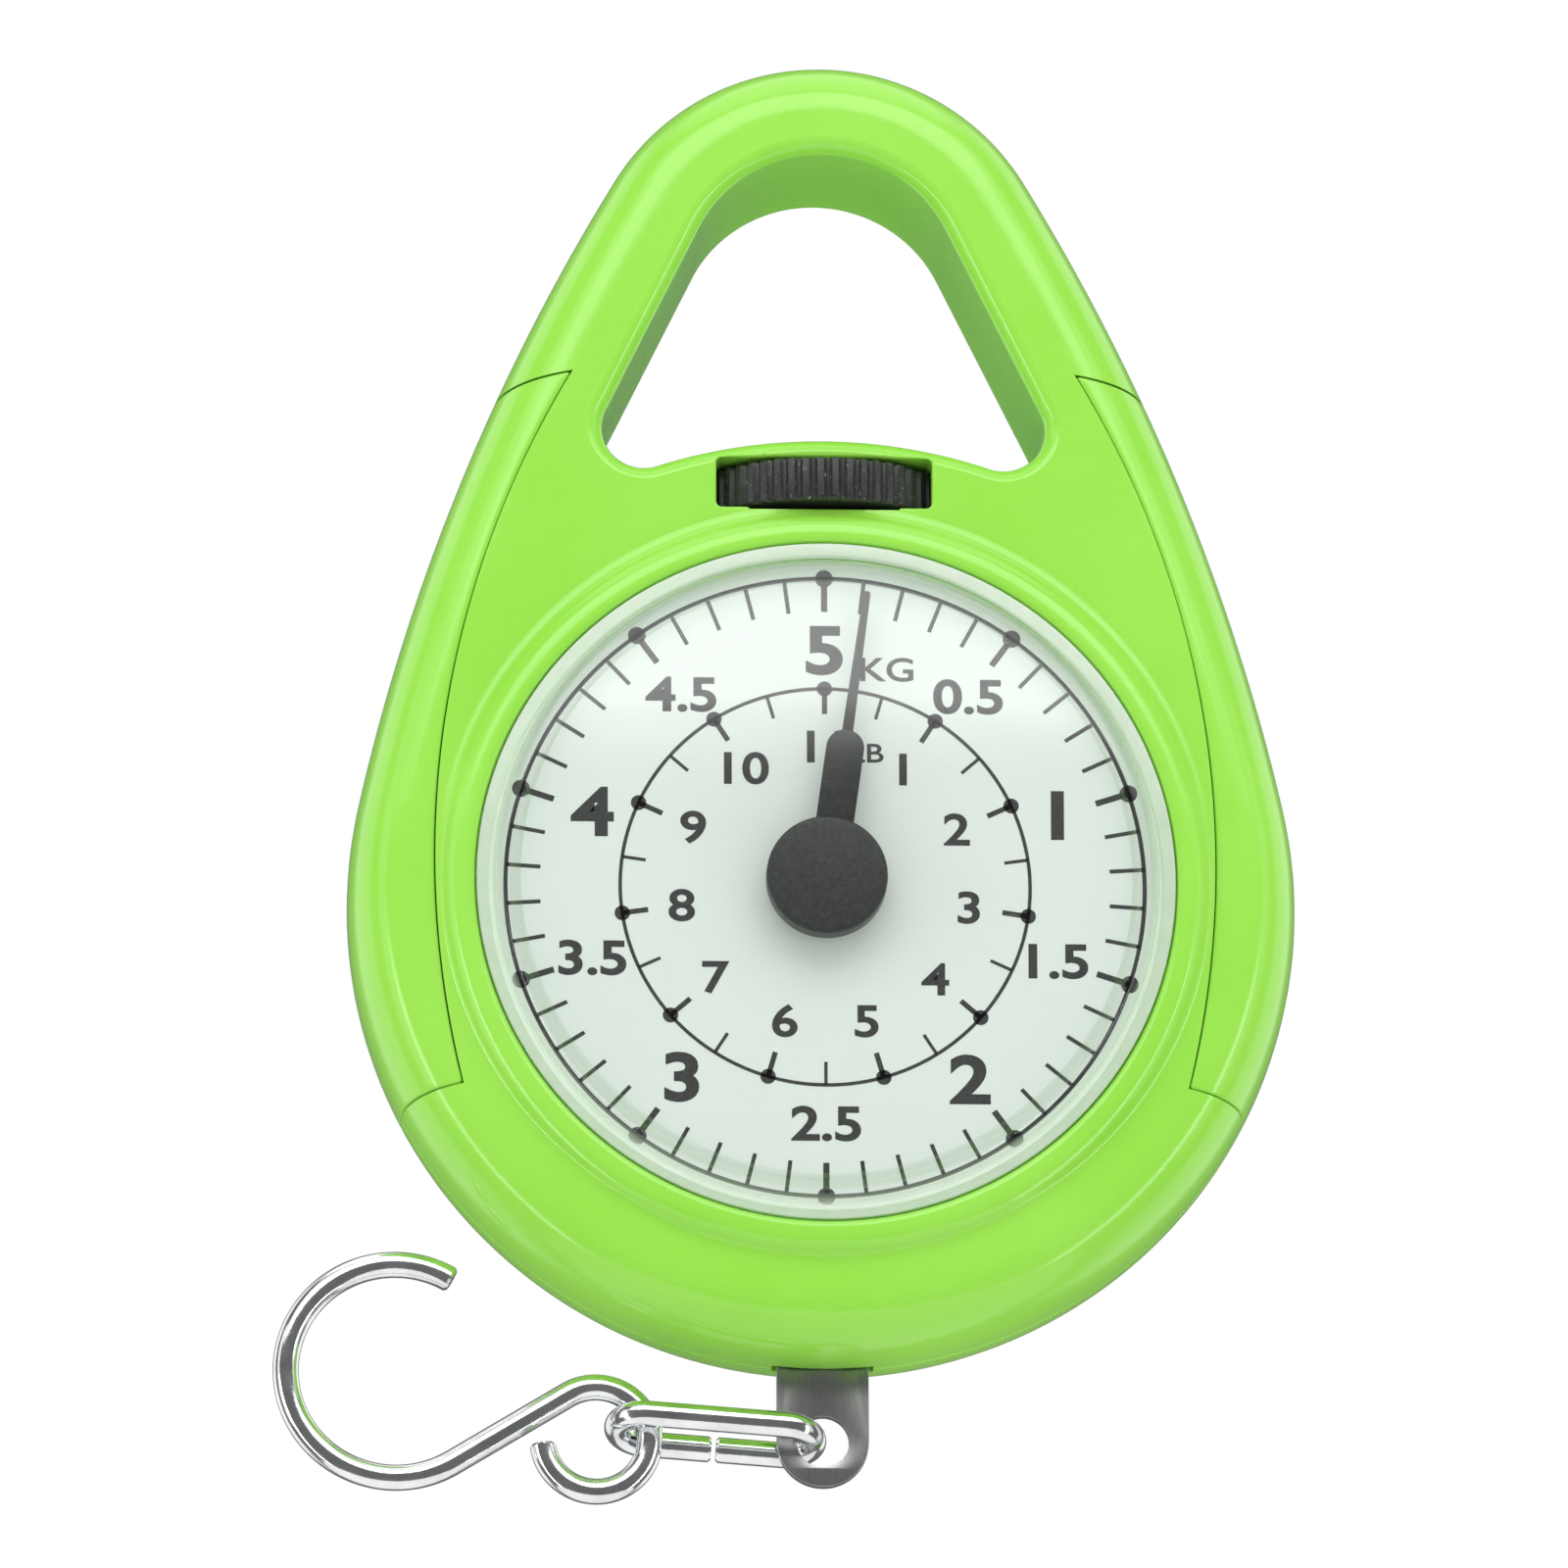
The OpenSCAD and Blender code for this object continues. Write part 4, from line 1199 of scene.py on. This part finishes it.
def studio_tent(centre):
    """Walls and softboxes round the object that only reflections see."""
    reach = 1.6
    turns = [math.pi * k / 24 for k in range(25)]
    profile = [(reach * math.sin(a), -reach * math.cos(a)) for a in turns]
    profile[0], profile[-1] = (0, -reach), (0, reach)
    tent = revolve("studio_tent", profile, 48)
    tent.location = centre
    f = Finish("studio_tent", (0, 0, 0), 1.0)
    x, y, z = f.axes()
    side_a = f.maths("ABSOLUTE", f.maths("ARCTAN2", x, f.maths("MULTIPLY", y, -1.0)))
    level = f.maths("DIVIDE", z, reach / MM)  # sine of the elevation

    def soft_step(value, at, soft):
        return f.span(value, 0.0, 1.0, at - soft, at + soft, interpolation_type="SMOOTHSTEP")

    def band(value, low, high, soft):
        fall = f.maths("SUBTRACT", 1.0, soft_step(value, high, soft))
        return f.maths("MULTIPLY", soft_step(value, low, soft), fall)

    def patch(a_low, a_high, z_low, z_high, soft_a, soft_z, power):
        across, upright = band(side_a, a_low, a_high, soft_a), band(level, z_low, z_high, soft_z)
        return f.maths("MULTIPLY", f.maths("MULTIPLY", across, upright), power)

    # Angle from the front and sine of the elevation (low, high), their softness, strength
    patches = [
        patch(-1.0, 0.95, 0.37, 0.8, 0.15, 0.03, 1.5),   # softbox over the camera
        patch(-1.0, 4.0, 0.86, 1.2, 0.1, 0.04, 1.2),     # ceiling
        patch(0.98, 1.1, -0.78, 0.1, 0.04, 0.1, 5.0),    # strips at both sides
        patch(1.75, 2.5, -0.6, 0.8, 0.1, 0.15, 1.0),     # side walls behind the object
        patch(-1.0, 4.0, -1.2, -0.86, 0.1, 0.04, 0.8),   # floor
    ]
    total = 0.16  # the walls between them
    for part in patches:
        total = f.maths("ADD", total, part)
    glow = f.node("ShaderNodeEmission")
    glow.inputs["Color"].default_value = (1, 1, 1, 1)
    f.link(total, glow.inputs["Strength"])
    f.surface(glow.outputs["Emission"])
    tent.data.materials.append(f.material)
    for ray in ("camera", "diffuse", "shadow", "transmission", "volume_scatter"):
        setattr(tent, "visible_" + ray, False)


mid = (cad_low + cad_high) / 2
light("soft_top", (0, -0.75, mid.z + 0.62), (1.1, 0.55), 3.2, mid)
light("soft_left", (-0.9, -0.35, mid.z + 0.1), (0.35, 0.9), 1.0, mid)
light("soft_right", (0.9, -0.35, mid.z + 0.05), (0.3, 0.9), 0.6, mid)
studio_tent(mid)

FLOOR_Z, FLOOR_HALF = -1.2, 12
floor_corners = [(x * FLOOR_HALF, y * FLOOR_HALF, FLOOR_Z) for x, y in
                 ((-1, -1), (1, -1), (1, 1), (-1, 1))]
floor = mesh_object("floor", floor_corners, [(0, 1, 2, 3)])
floor.data.materials.append(floor_paint())

world = bpy.data.worlds.new("studio")
world.use_nodes = True
world.node_tree.nodes["Background"].inputs["Color"].default_value = (1, 1, 1, 1)
world.node_tree.nodes["Background"].inputs["Strength"].default_value = 1.0
bpy.context.scene.world = world
bpy.context.scene.view_settings.view_transform = "Standard"

# ---------- camera ----------
AZIMUTH, ELEVATION, ROLL = math.radians(-2.7), math.radians(-15.5), math.radians(0.2)
DISTANCE, FRAME_WIDTH, SENSOR = 2.0, 0.1325, 36
target = Vector((-3.06 * MM, 0, DIAL.z + 11.13 * MM))
level = math.cos(ELEVATION)
back = Vector((math.sin(AZIMUTH) * level, -math.cos(AZIMUTH) * level, math.sin(ELEVATION)))
camera_data = bpy.data.cameras.new("camera")
camera_data.sensor_width = SENSOR
camera_data.lens = SENSOR * DISTANCE / FRAME_WIDTH
camera_data.clip_start, camera_data.clip_end = 0.05, 20
camera = put("camera", camera_data)
camera.location = target + back * DISTANCE
look = (-back).to_track_quat("-Z", "Y")
camera.rotation_euler = (look.to_matrix() @ Matrix.Rotation(-ROLL, 3, "Z")).to_euler()
bpy.context.scene.camera = camera
